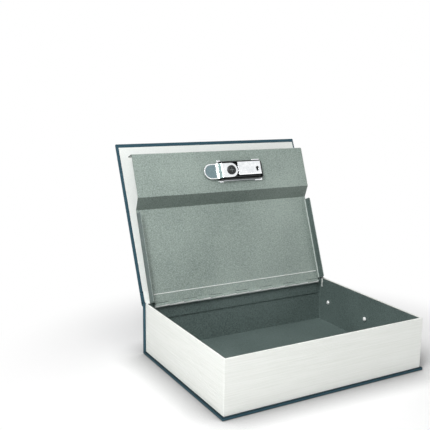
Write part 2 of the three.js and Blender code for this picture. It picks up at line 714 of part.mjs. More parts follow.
// The dished thumb piece, cut off flush with the housing's bowed end, on a stem through the slot.
function makeThumbSlide() {
  const low = lockFaceLevel - pocketDepth + seatGap;
  const high = low + thumbHeight;
  const rim = thumbRadius - thumbRimWidth;
  const profile = [[0, low], [thumbRadius, low], [thumbRadius, high - thumbEdge],
    [thumbRadius - thumbEdge, high], [rim, high], [rim * 0.85, high - thumbDish * 0.55],
    [rim * 0.5, high - thumbDish * 0.9], [0, high - thumbDish]]
    .map(([radius, height]) => new THREE.Vector2(radius, height));
  const round = new THREE.LatheGeometry(profile, 32).rotateX(Math.PI / 2).translate(thumbX, lockY, 0);
  const clipped = common(round, raise(lockPlan(0), low - 1, high + 1, 6));
  const stem = block(stemX - stemLength / 2, stemX + stemLength / 2,
    lockY - stemWidth / 2, lockY + stemWidth / 2, armTop + seatGap, low + thumbEdge);
  add(lid, 'thumb_slide', join(clipped, stem), castGrey);
}

// The bar beside the dials: an arm to the thumb piece, a flange under the dials and a finger for each gate.
function makeSlideBar() {
  const rail = block(barLeft, barRight, barInside, barOutside, flangeLow, armTop);
  const arm = block(stemX - stemLength / 2, barRight, lockY - stemWidth / 2, barOutside,
    armTop - barThickness, armTop);
  const flange = block(barLeft, flangeRight, lockY - tonguePlateRadius + 2, barOutside,
    flangeLow, flangeHigh);
  const fingerTip = lockY + gateDiscRadius - gateDepth + seatGap;
  const fingers = gateX.map((x) => x + slideTravel / 2).map((x) => block(x - fingerThickness / 2,
    x + fingerThickness / 2, fingerTip, barInside + fingerSetback, dialZ - fingerHeight / 2,
    dialZ + fingerHeight / 2));
  const hole = rodZ(screwX, lockY, flangeLow - 1, flangeHigh + 1, screwShankRadius + seatGap);
  add(lid, 'slide_bar', cut(join(rail, arm, flange, ...fingers), hole), brightSteel);
}

// The stepped tongue: a round-ended bolt with a rimmed face, which steps down to the plate under its screw.
function makeLatchTongue() {
  const plateRight = screwX + tonguePlateRadius;
  const section = foldedSheet([[plateRight + 1, plateTop], [stepRight, plateTop], [stepLeft, tongueLevel],
    [tongueTip - 1, tongueLevel]], tongueThickness, 1);
  const half = tongueWidth / 2;
  const plan = outline([
    [tongueTip, lockY - half, half - 0.1], [stepLeft, lockY - half], [stepRight, lockY - tonguePlateRadius],
    [plateRight, lockY - tonguePlateRadius, tonguePlateRadius - 0.1],
    [plateRight, lockY + tonguePlateRadius, tonguePlateRadius - 0.1], [stepRight, lockY + tonguePlateRadius],
    [stepLeft, lockY + half], [tongueTip, lockY + half, half - 0.1],
  ]);
  const low = plateTop - tongueThickness - 1;
  const tongue = common(
    drawOutY(section, lockY - half - 1, lockY + half + 1),
    raise(plan, low, tongueLevel + 1, 6),
  );
  const hole = rodZ(screwX, lockY, low, plateTop + 1, screwShankRadius + seatGap);
  const rimmed = half - tongueRimWidth;
  const recessRight = stepLeft - tongueRimWidth;
  const face = tongueLevel - tongueThickness;
  const recess = raise(outline([
    [tongueTip + tongueRimWidth, lockY - rimmed, rimmed - 0.1], [recessRight, lockY - rimmed],
    [recessRight, lockY + rimmed], [tongueTip + tongueRimWidth, lockY + rimmed, rimmed - 0.1],
  ]), face - 1, face + tongueRecessDepth, 2);
  add(lid, 'latch_tongue', cut(tongue, hole, recess), chromed);
}

// A cross-head screw with a chamfered head, down through the tongue into the slide's flange.
function makeTongueScrew() {
  const under = plateTop - tongueThickness - seatGap;
  const low = under - screwHeadHeight;
  const chamfer = low + screwHeadHeight * screwChamferShare;
  const profile = [[0, low], [screwHeadRadius * 0.7, low], [screwHeadRadius, chamfer],
    [screwHeadRadius, under], [screwShankRadius, under], [screwShankRadius, flangeHigh], [0, flangeHigh]]
    .map(([radius, height]) => new THREE.Vector2(radius, height));
  const screw = new THREE.LatheGeometry(profile, 20).rotateX(Math.PI / 2).translate(screwX, lockY, 0);
  const arm = screwHeadRadius * screwCrossReach;
  const slot = screwHeadRadius * screwCrossHalfWidth;
  const cross = [
    block(screwX - arm, screwX + arm, lockY - slot, lockY + slot, low - 1, chamfer),
    block(screwX - slot, screwX + slot, lockY - arm, lockY + arm, low - 1, chamfer),
  ];
  add(lid, 'tongue_screw', cut(screw, ...cross), screwDark);
}

// The front cover, drawn closed from the axis of its cloth joint. Cloth folds at the spine and again in
// front of the narrow joint strip. The paper is pasted inside the board.
function makeCover() {
  const front = boardFront - clothY;
  const paperLow = seatGap - clothRise;
  const boardLow = paperLow + paperThickness + seatGap;
  const boardHigh = boardLow + boardThickness;
  const stripFront = -clothStandOff - jointStripWidth;
  const boardBack = stripFront - seatGap;
  add(cover, 'cover_joint_strip', softBlock(-boardHalfLength, boardHalfLength, stripFront, -clothStandOff,
    boardLow, boardHigh, boardEdgeRadius), bookcloth);
  add(cover, 'front_cover_board', softBlock(-boardHalfLength, boardHalfLength, front, boardBack,
    boardLow, boardHigh, boardEdgeRadius), bookcloth);
  add(cover, 'front_endpaper', block(-boardHalfLength + paperInset, boardHalfLength - paperInset,
    front + paperFrontInset, boardBack - boardEdgeRadius, paperLow, paperLow + paperThickness), paperWhite);
  const clothHalfLength = boardHalfLength - boardEdgeRadius;
  add(cover, 'cover_joint_cloth', rodX(-clothHalfLength, clothHalfLength, 0, 0, clothRadius, 6), bookcloth);
}

lid.position.set(0, hingeY, hingeZ);
lid.rotation.x = -THREE.MathUtils.degToRad(lidOpenAngle);
cover.position.set(0, clothY, clothZ);
cover.rotation.x = -THREE.MathUtils.degToRad(coverOpenAngle);
book.add(lid, cover);

makeBoards();
makePageBlock();
makeSteelBox();
makeWallRivets();
makeHinge();
makeKeeper();
makeLidPanel();
makeLockHousing();
makeTrims();
makeDials();
makeDetentSpring();
makeLockFrame();
makeCoverPlate();
makeResetLever();
makeThumbSlide();
makeSlideBar();
makeLatchTongue();
makeTongueScrew();
makeCover();

export default book;
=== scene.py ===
import json
import math
from functools import partial
import bpy
import bmesh
from mathutils import Matrix, Vector


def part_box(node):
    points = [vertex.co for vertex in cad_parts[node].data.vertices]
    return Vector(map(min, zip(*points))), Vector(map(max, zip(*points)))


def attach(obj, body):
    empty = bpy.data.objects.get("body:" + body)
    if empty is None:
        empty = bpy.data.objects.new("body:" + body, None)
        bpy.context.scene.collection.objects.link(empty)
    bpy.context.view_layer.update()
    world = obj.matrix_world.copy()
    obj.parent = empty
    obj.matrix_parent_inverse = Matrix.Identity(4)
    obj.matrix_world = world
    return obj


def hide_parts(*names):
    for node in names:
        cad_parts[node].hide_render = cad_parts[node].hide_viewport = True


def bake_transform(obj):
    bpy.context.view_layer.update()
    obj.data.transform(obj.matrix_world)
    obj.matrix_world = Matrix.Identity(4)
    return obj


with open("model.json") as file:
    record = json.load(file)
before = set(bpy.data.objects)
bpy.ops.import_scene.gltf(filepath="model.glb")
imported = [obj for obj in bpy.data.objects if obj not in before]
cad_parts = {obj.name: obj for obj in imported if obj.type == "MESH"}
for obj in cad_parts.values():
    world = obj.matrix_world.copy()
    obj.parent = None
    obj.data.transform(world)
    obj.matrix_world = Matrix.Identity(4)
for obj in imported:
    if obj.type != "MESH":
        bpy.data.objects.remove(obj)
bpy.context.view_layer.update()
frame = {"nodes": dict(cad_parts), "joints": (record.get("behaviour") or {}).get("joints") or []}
nodes = frame["nodes"]
joints = {joint["name"]: joint for joint in frame["joints"]}
world = bpy.context.scene.world or bpy.data.worlds.new("studio")
bpy.context.scene.world = world
mm = 0.001
print("frame loaded:", len(nodes), "nodes")


def placeOf(jointName):  # turns a drawing of the closed lid or cover into its open place
    joint = joints[jointName]
    turn = Matrix.Rotation(-math.radians(joint["range_deg"][1]), 4, "X")
    return Matrix.Translation(Vector(joint["pos_m"])) @ turn


lidPlace = placeOf("lid_hinge")
coverPlace = placeOf("cover_joint_turn")


# shared ways of wiring nodes
def addNode(tree, kind, sockets=None, **settings):  # each socket takes a value, or a link from an output
    node = tree.nodes.new(kind)
    for key, value in settings.items():
        setattr(node, key, value)
    for name, value in (sockets or {}).items():
        if isinstance(value, bpy.types.NodeSocket):
            tree.links.new(value, node.inputs[name])
        else:
            node.inputs[name].default_value = value
    return node


def addMath(tree, operation, first, second):
    return addNode(tree, "ShaderNodeMath", {0: first, 1: second}, operation=operation).outputs[0]


# camera and light
camera = {
    "position": (-0.44782, -0.66532, 0.33032),
    "turn": (79.147, -1.146, -31.025),
    "lens": 60.074,
    "sensor": 36,
    "shift": (-0.08492, -0.00167),
    "clipStart": 0.01,
}
lamps = {
    "key": {"at": (-0.66, -0.48, 0.9), "towards": (0, 0, 0.1), "size": 0.5, "power": 12.1},
    "fill": {"at": (1.1, -1.5, 0.35), "towards": (0, 0, 0.1), "size": 1.2, "power": 5.6},
    "top": {"at": (-0.2, 0, 1.5), "towards": (0, 0, 0), "size": 1.0, "power": 5},
}
studio = {
    "worldStrength": 0.12, "floorHalf": 6.0, "floorDrop": 0.2 * mm,
    "floorRoughness": 0.9, "floorSpecular": 0.1, "floorTone": (0.08, 0.85), "floorLift": 0.12,
    "floorFade": (0.2, 0.36), "contactReach": 0.045, "contactPower": 2.0, "contactSamples": 8,
}


def addCamera():
    data = bpy.data.cameras.new("camera")
    data.lens = camera["lens"]
    data.sensor_width = camera["sensor"]
    data.shift_x, data.shift_y = camera["shift"]
    data.clip_start = camera["clipStart"]
    holder = bpy.data.objects.new("camera", data)
    holder.location = camera["position"]
    holder.rotation_euler = [math.radians(a) for a in camera["turn"]]
    bpy.context.scene.collection.objects.link(holder)
    bpy.context.scene.camera = holder


def addLamps():
    for name, lamp in lamps.items():
        data = bpy.data.lights.new(name, "AREA")
        data.size = lamp["size"]
        data.energy = lamp["power"]
        holder = bpy.data.objects.new(name, data)
        holder.location = lamp["at"]
        away = Vector(lamp["at"]) - Vector(lamp["towards"])
        holder.rotation_euler = away.to_track_quat("Z", "Y").to_euler()
        bpy.context.scene.collection.objects.link(holder)


def seenDirectly(tree):  # 1 for the camera, mirrors and glass, 0 for light on the object
    path = addNode(tree, "ShaderNodeLightPath").outputs
    mirrored = addMath(tree, "MAXIMUM", path["Is Camera Ray"], path["Is Glossy Ray"])
    return addMath(tree, "MAXIMUM", mirrored, path["Is Transmission Ray"])


def mixed(tree, amount, first, second):
    sockets = {0: amount, 1: first.outputs[0], 2: second.outputs[0]}
    return addNode(tree, "ShaderNodeMixShader", sockets).outputs[0]


def addBackdrop():
    world.use_nodes = True
    tree = world.node_tree
    background = tree.nodes["Background"]
    background.inputs["Color"].default_value = (1, 1, 1, 1)
    background.inputs["Strength"].default_value = studio["worldStrength"]
    white = addNode(tree, "ShaderNodeBackground", {"Color": (1, 1, 1, 1)})
    sky = mixed(tree, seenDirectly(tree), background, white)
    tree.links.new(sky, tree.nodes["World Output"].inputs["Surface"])


def floorPaint():  # pale floor: keeps the shadow near the object and fades to plain white
    material = bpy.data.materials.new("floorWhite")
    material.use_nodes = True
    tree = material.node_tree
    add = partial(addNode, tree)
    shader = tree.nodes["Principled BSDF"]
    shader.inputs["Roughness"].default_value = studio["floorRoughness"]
    shader.inputs["Specular IOR Level"].default_value = studio["floorSpecular"]
    sockets = {"Distance": studio["contactReach"]}
    near = add("ShaderNodeAmbientOcclusion", sockets, samples=studio["contactSamples"])
    deep = addMath(tree, "POWER", near.outputs["AO"], studio["contactPower"])  # darker close to the object
    dark, light = studio["floorTone"]
    tone = add("ShaderNodeMapRange", {"Value": deep, "To Min": dark, "To Max": light})
    tree.links.new(tone.outputs["Result"], shader.inputs["Base Color"])
    seen = seenDirectly(tree)
    glow = add("ShaderNodeEmission", {"Strength": addMath(tree, "MULTIPLY", seen, studio["floorLift"])})
    lifted = add("ShaderNodeAddShader", {0: shader.outputs[0], 1: glow.outputs[0]})
    place = add("ShaderNodeTexCoord").outputs["Object"]
    reach = add("ShaderNodeVectorMath", {0: place}, operation="LENGTH").outputs["Value"]
    start, end = studio["floorFade"]
    sockets = {"Value": reach, "From Min": start, "From Max": end}
    fade = add("ShaderNodeMapRange", sockets, interpolation_type="SMOOTHSTEP")
    far = addMath(tree, "MULTIPLY", fade.outputs["Result"], seen)
    surface = mixed(tree, far, lifted, add("ShaderNodeEmission"))
    tree.links.new(surface, tree.nodes["Material Output"].inputs["Surface"])
    return material


def addFloor():
    half = studio["floorHalf"]
    mesh = bpy.data.meshes.new("floor")
    corners = [(-half, -half, 0), (half, -half, 0), (half, half, 0), (-half, half, 0)]
    mesh.from_pydata(corners, [], [(0, 1, 2, 3)])
    mesh.materials.append(floorPaint())
    floor = bpy.data.objects.new("floor", mesh)
    floor.location = (0, 0, -studio["floorDrop"])
    bpy.context.scene.collection.objects.link(floor)


bpy.context.scene.view_settings.view_transform = "Standard"
addCamera()
addLamps()
addBackdrop()
addFloor()
print("camera, lamps and floor set")


# finishes
def colour(red, green, blue):  # screen values, 0 to 255
    def linear(value):
        value /= 255
        return value / 12.92 if value <= 0.04045 else ((value + 0.055) / 1.055) ** 2.4
    return (linear(red), linear(green), linear(blue), 1)


class Finish:  # a material with a few short ways to wire it
    def __init__(self, name, base, roughness, metallic=0.0):
        self.material = bpy.data.materials.new(name)
        self.material.use_nodes = True
        self.tree = self.material.node_tree
        self.shader = self.tree.nodes["Principled BSDF"]
        self.set("Base Color", base)
        self.set("Roughness", roughness)
        self.set("Metallic", metallic)
        self.place = self.add("ShaderNodeTexCoord").outputs["Object"]

    def add(self, kind, sockets=None, **settings):
        return addNode(self.tree, kind, sockets, **settings)

    def set(self, socket, value):
        self.shader.inputs[socket].default_value = value

    def link(self, output, socket):
        self.tree.links.new(output, socket)

    def turned(self, turn=(0, 0, 0), scale=(1, 1, 1), place=None):
        sockets = {"Rotation": turn, "Scale": scale, "Vector": place or self.place}
        return self.add("ShaderNodeMapping", sockets).outputs["Vector"]

    def noise(self, scale, detail=2.0, roughness=0.5, place=None):
        sockets = {"Scale": scale, "Detail": detail, "Roughness": roughness, "Vector": place or self.place}
        return self.add("ShaderNodeTexNoise", sockets).outputs["Fac"]

    def cells(self, scale):
        sockets = {"Scale": scale, "Vector": self.place}
        return self.add("ShaderNodeTexVoronoi", sockets, feature="SMOOTH_F1").outputs["Distance"]

    def waves(self, scale, direction, wobble, place):
        sockets = {"Scale": scale, "Distortion": wobble, "Detail": 1.0, "Detail Scale": 1.5, "Vector": place}
        bands = self.add("ShaderNodeTexWave", sockets, wave_type="BANDS", bands_direction=direction)
        return bands.outputs["Fac"]

    def sum(self, first, second):
        return addMath(self.tree, "ADD", first, second)

    def times(self, first, second):
        return addMath(self.tree, "MULTIPLY", first, second)

    def between(self, amount, low, high, start, end):
        ramp = self.add("ShaderNodeValToRGB", {"Fac": amount})
        for element, position, tone in zip(ramp.color_ramp.elements, (start, end), (low, high)):
            element.position = position
            element.color = tone
        return ramp.outputs["Color"]

    def span(self, amount, low, high):
        sockets = {"Value": amount, "To Min": low, "To Max": high}
        return self.add("ShaderNodeMapRange", sockets).outputs["Result"]

    def colourFrom(self, output):
        self.link(output, self.shader.inputs["Base Color"])

    def roughnessFrom(self, output):
        self.link(output, self.shader.inputs["Roughness"])

    def bumpFrom(self, height, strength, depth):
        bump = self.add("ShaderNodeBump", {"Strength": strength, "Distance": depth, "Height": height})
        self.link(bump.outputs["Normal"], self.shader.inputs["Normal"])


cloth = {
    "thread": colour(30, 53, 63), "light": colour(54, 84, 96),
    # shade: darker cloth tones, used as painted shade on the back board's upward faces
    "shade": (colour(14, 29, 35), colour(25, 45, 52)), "ramp": (0.35, 1.15),
    "wavesPerMetre": 533.8, "wobble": 1.2, "slub": 420, "slubStretch": (0.2, 1, 1), "patch": 22,
    "edgeShare": 0.25, "patchShare": 0.5, "slubBump": 0.6,
    "roughness": 0.82, "specular": 0.15, "sheen": (0.04, 0.5), "bump": 0.5, "depth": 0.12 * mm,
}
paint = {
    "lid": (colour(95, 109, 103), colour(156, 169, 162)),
    # the lid's grey paint made darker, as painted shade
    "box": (colour(61, 75, 72), colour(107, 122, 119)),
    # darker again: painted shade on the lid's sloped band
    "band": (colour(77, 89, 84), colour(129, 142, 135)),
    # near white: painted highlight with some wear, on the hinge barrel and the leaf's bead
    "wearAndHighlight": (colour(228, 233, 230), colour(246, 248, 246)),
    # near black: painted shadow in the gaps at the box's top edge and the lid's front lip
    "rim": (colour(14, 19, 18), colour(32, 39, 37)),
    # pale: painted highlight along the lid's flange bends
    "crease": (colour(146, 158, 153), colour(186, 196, 191)),
    "dimplesPerMetre": 520, "grainPerMetre": 832, "cloud": 9, "ramp": (0.34, 0.62),
    "grainShare": 0.7, "cloudShare": 0.3, "grainBump": 0.5,
    "roughness": 0.42, "glossSpan": (0.34, 0.62), "bump": 0.5, "depth": 0.5 * mm,
}
pageEdge = {
    "shade": colour(234, 237, 231), "light": colour(245, 247, 243), "ramp": (0.4, 0.76),
    "linesPerMetre": 1500, "lineStretch": (0.012, 0.012, 1),
    "drift": 26, "driftStretch": (0.15, 0.15, 1), "driftShare": 0.3,
    "roughness": 0.72, "bump": 0.3, "depth": 0.1 * mm,
}
sheetPaper = {
    "base": colour(229, 232, 229), "tones": (colour(221, 225, 222), colour(233, 236, 233)),
    "ramp": (0.3, 0.7), "fibre": 900, "roughness": 0.85, "bump": 0.15, "depth": 0.05 * mm,
}
metal = {"ramp": (0.35, 0.65), "glossSpan": (0.7, 1.4), "depth": 0.06 * mm}
plastic = {"grain": 700, "ramp": (0.3, 0.7), "glossSpan": (0.8, 1.25), "bump": 0.08, "depth": 0.04 * mm}


def clothFinish(name, lean, low=cloth["thread"], high=cloth["light"]):  # woven along X and along the board
    finish = Finish(name, low, cloth["roughness"])
    flat = finish.turned((lean, 0, 0))
    warp, weft, edge = (finish.waves(cloth["wavesPerMetre"], axis, cloth["wobble"], flat) for axis in "XYZ")
    weave = finish.sum(finish.times(warp, weft), finish.times(edge, cloth["edgeShare"]))
    slub = finish.noise(cloth["slub"], 3, 0.6, finish.turned(scale=cloth["slubStretch"], place=flat))
    patch = finish.times(finish.noise(cloth["patch"]), cloth["patchShare"])
    tone = finish.sum(finish.sum(weave, slub), patch)
    finish.colourFrom(finish.between(tone, low, high, *cloth["ramp"]))
    height = finish.sum(weave, finish.times(slub, cloth["slubBump"]))
    finish.bumpFrom(height, cloth["bump"], cloth["depth"])
    finish.set("Specular IOR Level", cloth["specular"])
    finish.set("Sheen Weight", cloth["sheen"][0])
    finish.set("Sheen Roughness", cloth["sheen"][1])
    return finish.material


def paintFinish(name, tones):  # grey hammered paint: shallow dimples with a soft gloss
    finish = Finish(name, tones[1], paint["roughness"])
    dimples = finish.cells(paint["dimplesPerMetre"])
    grain = finish.noise(paint["grainPerMetre"], 3, 0.65)
    cloud = finish.times(finish.noise(paint["cloud"]), paint["cloudShare"])
    tone = finish.sum(finish.times(grain, paint["grainShare"]), cloud)
    finish.colourFrom(finish.between(tone, *tones, *paint["ramp"]))
    finish.roughnessFrom(finish.span(grain, *paint["glossSpan"]))
    height = finish.sum(dimples, finish.times(grain, paint["grainBump"]))
    finish.bumpFrom(height, paint["bump"], paint["depth"])
    return finish.material


def pageFinish():  # page edges: thin uneven lines along the block
    finish = Finish("pageEdges", pageEdge["light"], pageEdge["roughness"])
    lines = finish.noise(pageEdge["linesPerMetre"], 2, 0.7, finish.turned(scale=pageEdge["lineStretch"]))
    drift = finish.noise(pageEdge["drift"], place=finish.turned(scale=pageEdge["driftStretch"]))
    tone = finish.sum(lines, finish.times(drift, pageEdge["driftShare"]))
    finish.colourFrom(finish.between(tone, pageEdge["shade"], pageEdge["light"], *pageEdge["ramp"]))
    finish.bumpFrom(lines, pageEdge["bump"], pageEdge["depth"])
    return finish.material


def paperFinish():
    finish = Finish("mattPaper", sheetPaper["base"], sheetPaper["roughness"])
    fibre = finish.noise(sheetPaper["fibre"], 3, 0.6)
    finish.colourFrom(finish.between(fibre, *sheetPaper["tones"], *sheetPaper["ramp"]))
    finish.bumpFrom(fibre, sheetPaper["bump"], sheetPaper["depth"])
    return finish.material


def metalFinish(name, low, high, roughness, grain=500, bump=0.06, stretch=(1, 1, 1), metallic=1.0):
    finish = Finish(name, high, roughness, metallic)
    fine = finish.noise(grain, 3, 0.6, finish.turned(scale=stretch))
    finish.colourFrom(finish.between(fine, low, high, *metal["ramp"]))
    finish.roughnessFrom(finish.span(fine, *(roughness * share for share in metal["glossSpan"])))
    finish.bumpFrom(fine, bump, metal["depth"])
    return finish.material


def plasticFinish(name, low, high, roughness):
    finish = Finish(name, high, roughness)
    fine = finish.noise(plastic["grain"])
    finish.colourFrom(finish.between(fine, low, high, *plastic["ramp"]))
    finish.roughnessFrom(finish.span(fine, *(roughness * share for share in plastic["glossSpan"])))
    finish.bumpFrom(fine, plastic["bump"], plastic["depth"])
    return finish.material


coverLean = math.radians(joints["cover_joint_turn"]["range_deg"][1])
flatCloth = clothFinish("bookclothFlat", 0)
# darker copy of the flat cloth, for painted shade
shadedRimCloth = clothFinish("bookclothPaintedShade", 0, *cloth["shade"])
standingCloth = clothFinish("bookclothStanding", math.radians(90))
leaningCloth = clothFinish("bookclothLeaning", coverLean)
greyPaint = paintFinish("hammeredGreyPaint", paint["lid"])
# the same grey paint, darkened as painted shade for the box, the lid's flanges, the lower hinge leaf and the
# keeper
shadedGreyPaint = paintFinish("hammeredGreyPaintShaded", paint["box"])
# grey paint darkened as painted shade for the sloped band
bandShadePaint = paintFinish("hammeredBandPaintedShade", paint["band"])
# near-white paint for painted highlights, with some wear
wearAndHighlightPaint = paintFinish("wearAndHighlightPaint", paint["wearAndHighlight"])
# near-black paint for painted shadow in gaps
rimShadowPaint = paintFinish("rimShadowPaint", paint["rim"])
# pale paint for the painted highlight along the flange bends
creaseHighlightPaint = paintFinish("creaseHighlightPaint", paint["crease"])
pageEdges = pageFinish()
mattPaper = paperFinish()
chromePlate = metalFinish(
    "chromePlate", colour(228, 231, 233), colour(242, 244, 245), 0.2, grain=160, bump=0.02)
satinSteel = metalFinish(
    "satinSteel", colour(150, 156, 158), colour(205, 209, 211), 0.3,
    grain=900, bump=0.1, stretch=(0.06, 1, 1))
# teal-grey colour for the floor of the tongue's recess
tealRecessFace = metalFinish(
    "tealTongueRecess", colour(86, 108, 114), colour(132, 151, 155), 0.42, grain=1500, bump=0.2, metallic=0.5)
# teal-grey on the tongue's bend: a painted reflection of the surroundings
bendReflectionFace = metalFinish(
    "bendPaintedReflection", colour(92, 116, 116), colour(136, 158, 156), 0.5, grain=900, bump=0.1, metallic=0.2)
# near black: painted shadow on the lock frame's ring, the cover plate's sides and the trims' outer sides
shadowBlack = metalFinish(
    "paintedShadowBlack", colour(10, 12, 12), colour(34, 38, 38), 0.45, grain=900, bump=0.2, metallic=0.3)
# near-white rivets: bright metal with its glare painted in as colour
nickelRivetGlare = metalFinish(
    "nickelRivetGlare", colour(242, 243, 242), colour(250, 251, 250), 0.35, bump=0.05, metallic=0)
castMetal = metalFinish(
    "castGrey", colour(84, 90, 90), colour(124, 130, 130), 0.5, grain=620, bump=0.3, metallic=0.35)
brassBright = metalFinish(
    "polishedBrass", colour(206, 178, 82), colour(236, 220, 132), 0.2, bump=0.05, stretch=(0.1, 1, 1))
darkSteel = metalFinish(
    "darkScrewSteel", colour(16, 18, 19), colour(48, 51, 51), 0.4, grain=800, bump=0.12, metallic=0.45)
silverFoil = metalFinish(
    "silverFoil", colour(196, 202, 204), colour(226, 230, 231), 0.28, grain=1400, bump=0.1)
dialBlack = plasticFinish("dialBlack", colour(14, 14, 15), colour(30, 30, 32), 0.38)
numberWhite = plasticFinish("numberWhite", colour(222, 222, 218), colour(240, 240, 238), 0.5)
print("finishes made")


# shared ways of making a piece
def meshPiece(name, mesh, material):
    piece = bpy.data.objects.new(name, mesh)
    bpy.context.scene.collection.objects.link(piece)
    mesh.materials.clear()
    mesh.materials.append(material)
    return piece


def settled(piece):  # applies every modifier, so that the piece is a plain mesh
    bpy.context.view_layer.update()
    final = bpy.data.meshes.new_from_object(piece.evaluated_get(bpy.context.evaluated_depsgraph_get()))
    piece.modifiers.clear()
    piece.data = final
    return piece


def thicken(piece, thickness, offset):  # gives a flat piece a second side
    wall = piece.modifiers.new("wall", "SOLIDIFY")
    wall.thickness = thickness
    wall.offset = offset
    settled(piece)


def joinsTo(piece, body, slotName, *replaced):
    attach(piece, body)
    if replaced:
        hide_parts(*replaced)
    return piece


def meshOf(shape, name, place=None):  # turns a finished shape into a mesh, moved to its place
    mesh = bpy.data.meshes.new(name)
    shape.to_mesh(mesh)
    shape.free()
    if place is not None:
        mesh.transform(place)
    return mesh


def addBox(shape, centre, size):
    place = Matrix.Translation(Vector(centre)) @ Matrix.Diagonal((*size, 1))
    bmesh.ops.create_cube(shape, size=1, matrix=place)


def addBar(shape, outlines):  # a closed bar between two matching outlines
    rings = [[shape.verts.new(point) for point in outline] for outline in outlines]
    for i, (point, other) in enumerate(zip(*rings)):
        j = (i + 1) % len(rings[0])
        shape.faces.new((point, rings[0][j], rings[1][j], other))
    for ring in rings:
        shape.faces.new(ring)


def cutAcross(shape, point, way):  # extra edges where a plane crosses the shape
    everything = shape.verts[:] + shape.edges[:] + shape.faces[:]
    bmesh.ops.bisect_plane(shape, geom=everything, plane_co=point, plane_no=way)


softEdge = {"weld": 0.002 * mm, "segments": 2, "sharp": 32}  # for nodes shown with their edges broken


def breakEdges(shape, width):
    bmesh.ops.bevel(shape, geom=shape.edges[:], offset=width, segments=softEdge["segments"], affect="EDGES")


def softEdged(node, body, slotName, material, width, sharp=softEdge["sharp"], cuts=()):
    shape = bmesh.new()
    shape.from_mesh(nodes[node].data)
    bmesh.ops.remove_doubles(shape, verts=shape.verts, dist=softEdge["weld"])
    for x in cuts:  # where the finish of the piece changes
        cutAcross(shape, (x, 0, 0), (1, 0, 0))
    mesh = meshOf(shape, node + "_soft")
    mesh.shade_smooth()
    piece = meshPiece(node + "_soft", mesh, material)
    edges = piece.modifiers.new("edges", "BEVEL")
    edges.width = width
    edges.segments = softEdge["segments"]
    edges.limit_method = "ANGLE"
    edges.angle_limit = math.radians(sharp)
    edges.use_clamp_overlap = False
    even = piece.modifiers.new("even", "WEIGHTED_NORMAL")
    even.keep_sharp = False
    settled(piece)
    return joinsTo(piece, body, slotName, node)


def growthTree(name, inputs):  # an empty node tree with named inputs
    tree = bpy.data.node_groups.new(name, "GeometryNodeTree")
    tree.interface.new_socket("Geometry", in_out="INPUT", socket_type="NodeSocketGeometry")
    for label, kind, value in inputs:
        socket = tree.interface.new_socket(label, in_out="INPUT", socket_type="NodeSocket" + kind)
        socket.default_value = value
    tree.interface.new_socket("Geometry", in_out="OUTPUT", socket_type="NodeSocketGeometry")
    return tree, tree.nodes.new("NodeGroupInput").outputs, tree.nodes.new("NodeGroupOutput").inputs


def grown(piece, tree):  # runs the tree on the piece with its named inputs and keeps the plain mesh
    modifier = piece.modifiers.new(tree.name, "NODES")
    modifier.node_group = tree
    for item in tree.interface.items_tree:
        if item.in_out == "INPUT" and item.name != "Geometry":
            modifier[item.identifier] = item.default_value
    return settled(piece)


# page block
pages = {
    "layers": 42, "groove": 0.13 * mm, "lip": 0.16 * mm, "wall": 2.2 * mm,
    "corner": 0.8 * mm, "cornerSteps": 3, "step": 12 * mm, "ruffle": 0.05 * mm, "weld": 0.01 * mm,
    "seed": 7,
}


def wallPath(low, high):  # matching points along the outside and the inside of the three walls
    wall, corner = pages["wall"], pages["corner"]
    left, right, front, back = low.x, high.x, low.y, high.y
    path = []

    def run(outStart, outEnd, inStart, inEnd):
        outStart, outEnd, inStart, inEnd = (Vector(point) for point in (outStart, outEnd, inStart, inEnd))
        count = max(1, round((outEnd - outStart).length / pages["step"]))
        for i in range(count):
            path.append((outStart.lerp(outEnd, i / count), inStart.lerp(inEnd, i / count)))

    def bend(x, y, first, inner):
        for i in range(pages["cornerSteps"]):
            angle = math.radians(first + 90 * i / pages["cornerSteps"])
            outer = Vector((x + corner * math.cos(angle), y + corner * math.sin(angle)))
            path.append((outer, Vector(inner)))

    leftInner = (left + wall, front + wall)
    rightInner = (right - wall, front + wall)
    run((left, back), (left, front + corner), (left + wall, back), leftInner)
    bend(left + corner, front + corner, 180, leftInner)
    run((left + corner, front), (right - corner, front), leftInner, rightInner)
    bend(right - corner, front + corner, 270, rightInner)
    run((right, front + corner), (right, back), rightInner, (right - wall, back))
    path.append((Vector((right, back)), Vector((right - wall, back))))
    return path


def inwards(path):  # unit direction from each outer point to the middle of the wall
    ways = []
    for i, (outer, _) in enumerate(path):
        before, after = path[max(0, i - 1)][0], path[min(len(path) - 1, i + 1)][0]
        along = (after - before).normalized()
        ways.append(Vector((-along.y, along.x)))
    return ways


def pageLayer(low, high):  # one layer with a rounded fore edge, and a flat cap for the stack's ends
    path = wallPath(low, high)
    ways = inwards(path)
    height = (high.z - low.z) / pages["layers"]
    groove, lip = pages["groove"], pages["lip"]
    profile = [(groove, 0), (0, lip), (0, height - lip), (groove, height)]
    verts = []
    for (outer, inner), way in zip(path, ways):
        for inset, z in profile:
            point = outer + way * inset
            verts.append((point.x, point.y, low.z + z))
        verts.append((inner.x, inner.y, low.z + height))
        verts.append((inner.x, inner.y, low.z))
    size = len(profile) + 2
    last = len(path) - 1
    faces, caps = [], []
    for i in range(last):
        here, there = i * size, (i + 1) * size
        for k in (0, 1, 2, 4):
            faces.append((here + k, there + k, there + k + 1, here + k + 1))
        caps.append((here, here + 5, there + 5, there))
    faces.append(tuple(reversed(range(size))))
    faces.append(tuple(last * size + k for k in range(size)))
    mesh = bpy.data.meshes.new("pageLayer")
    mesh.from_pydata(verts, [], faces + caps)
    tag = mesh.attributes.new("cap", "BOOLEAN", "FACE")
    tag.data.foreach_set("value", [False] * len(faces) + [True] * len(caps))
    return mesh, height


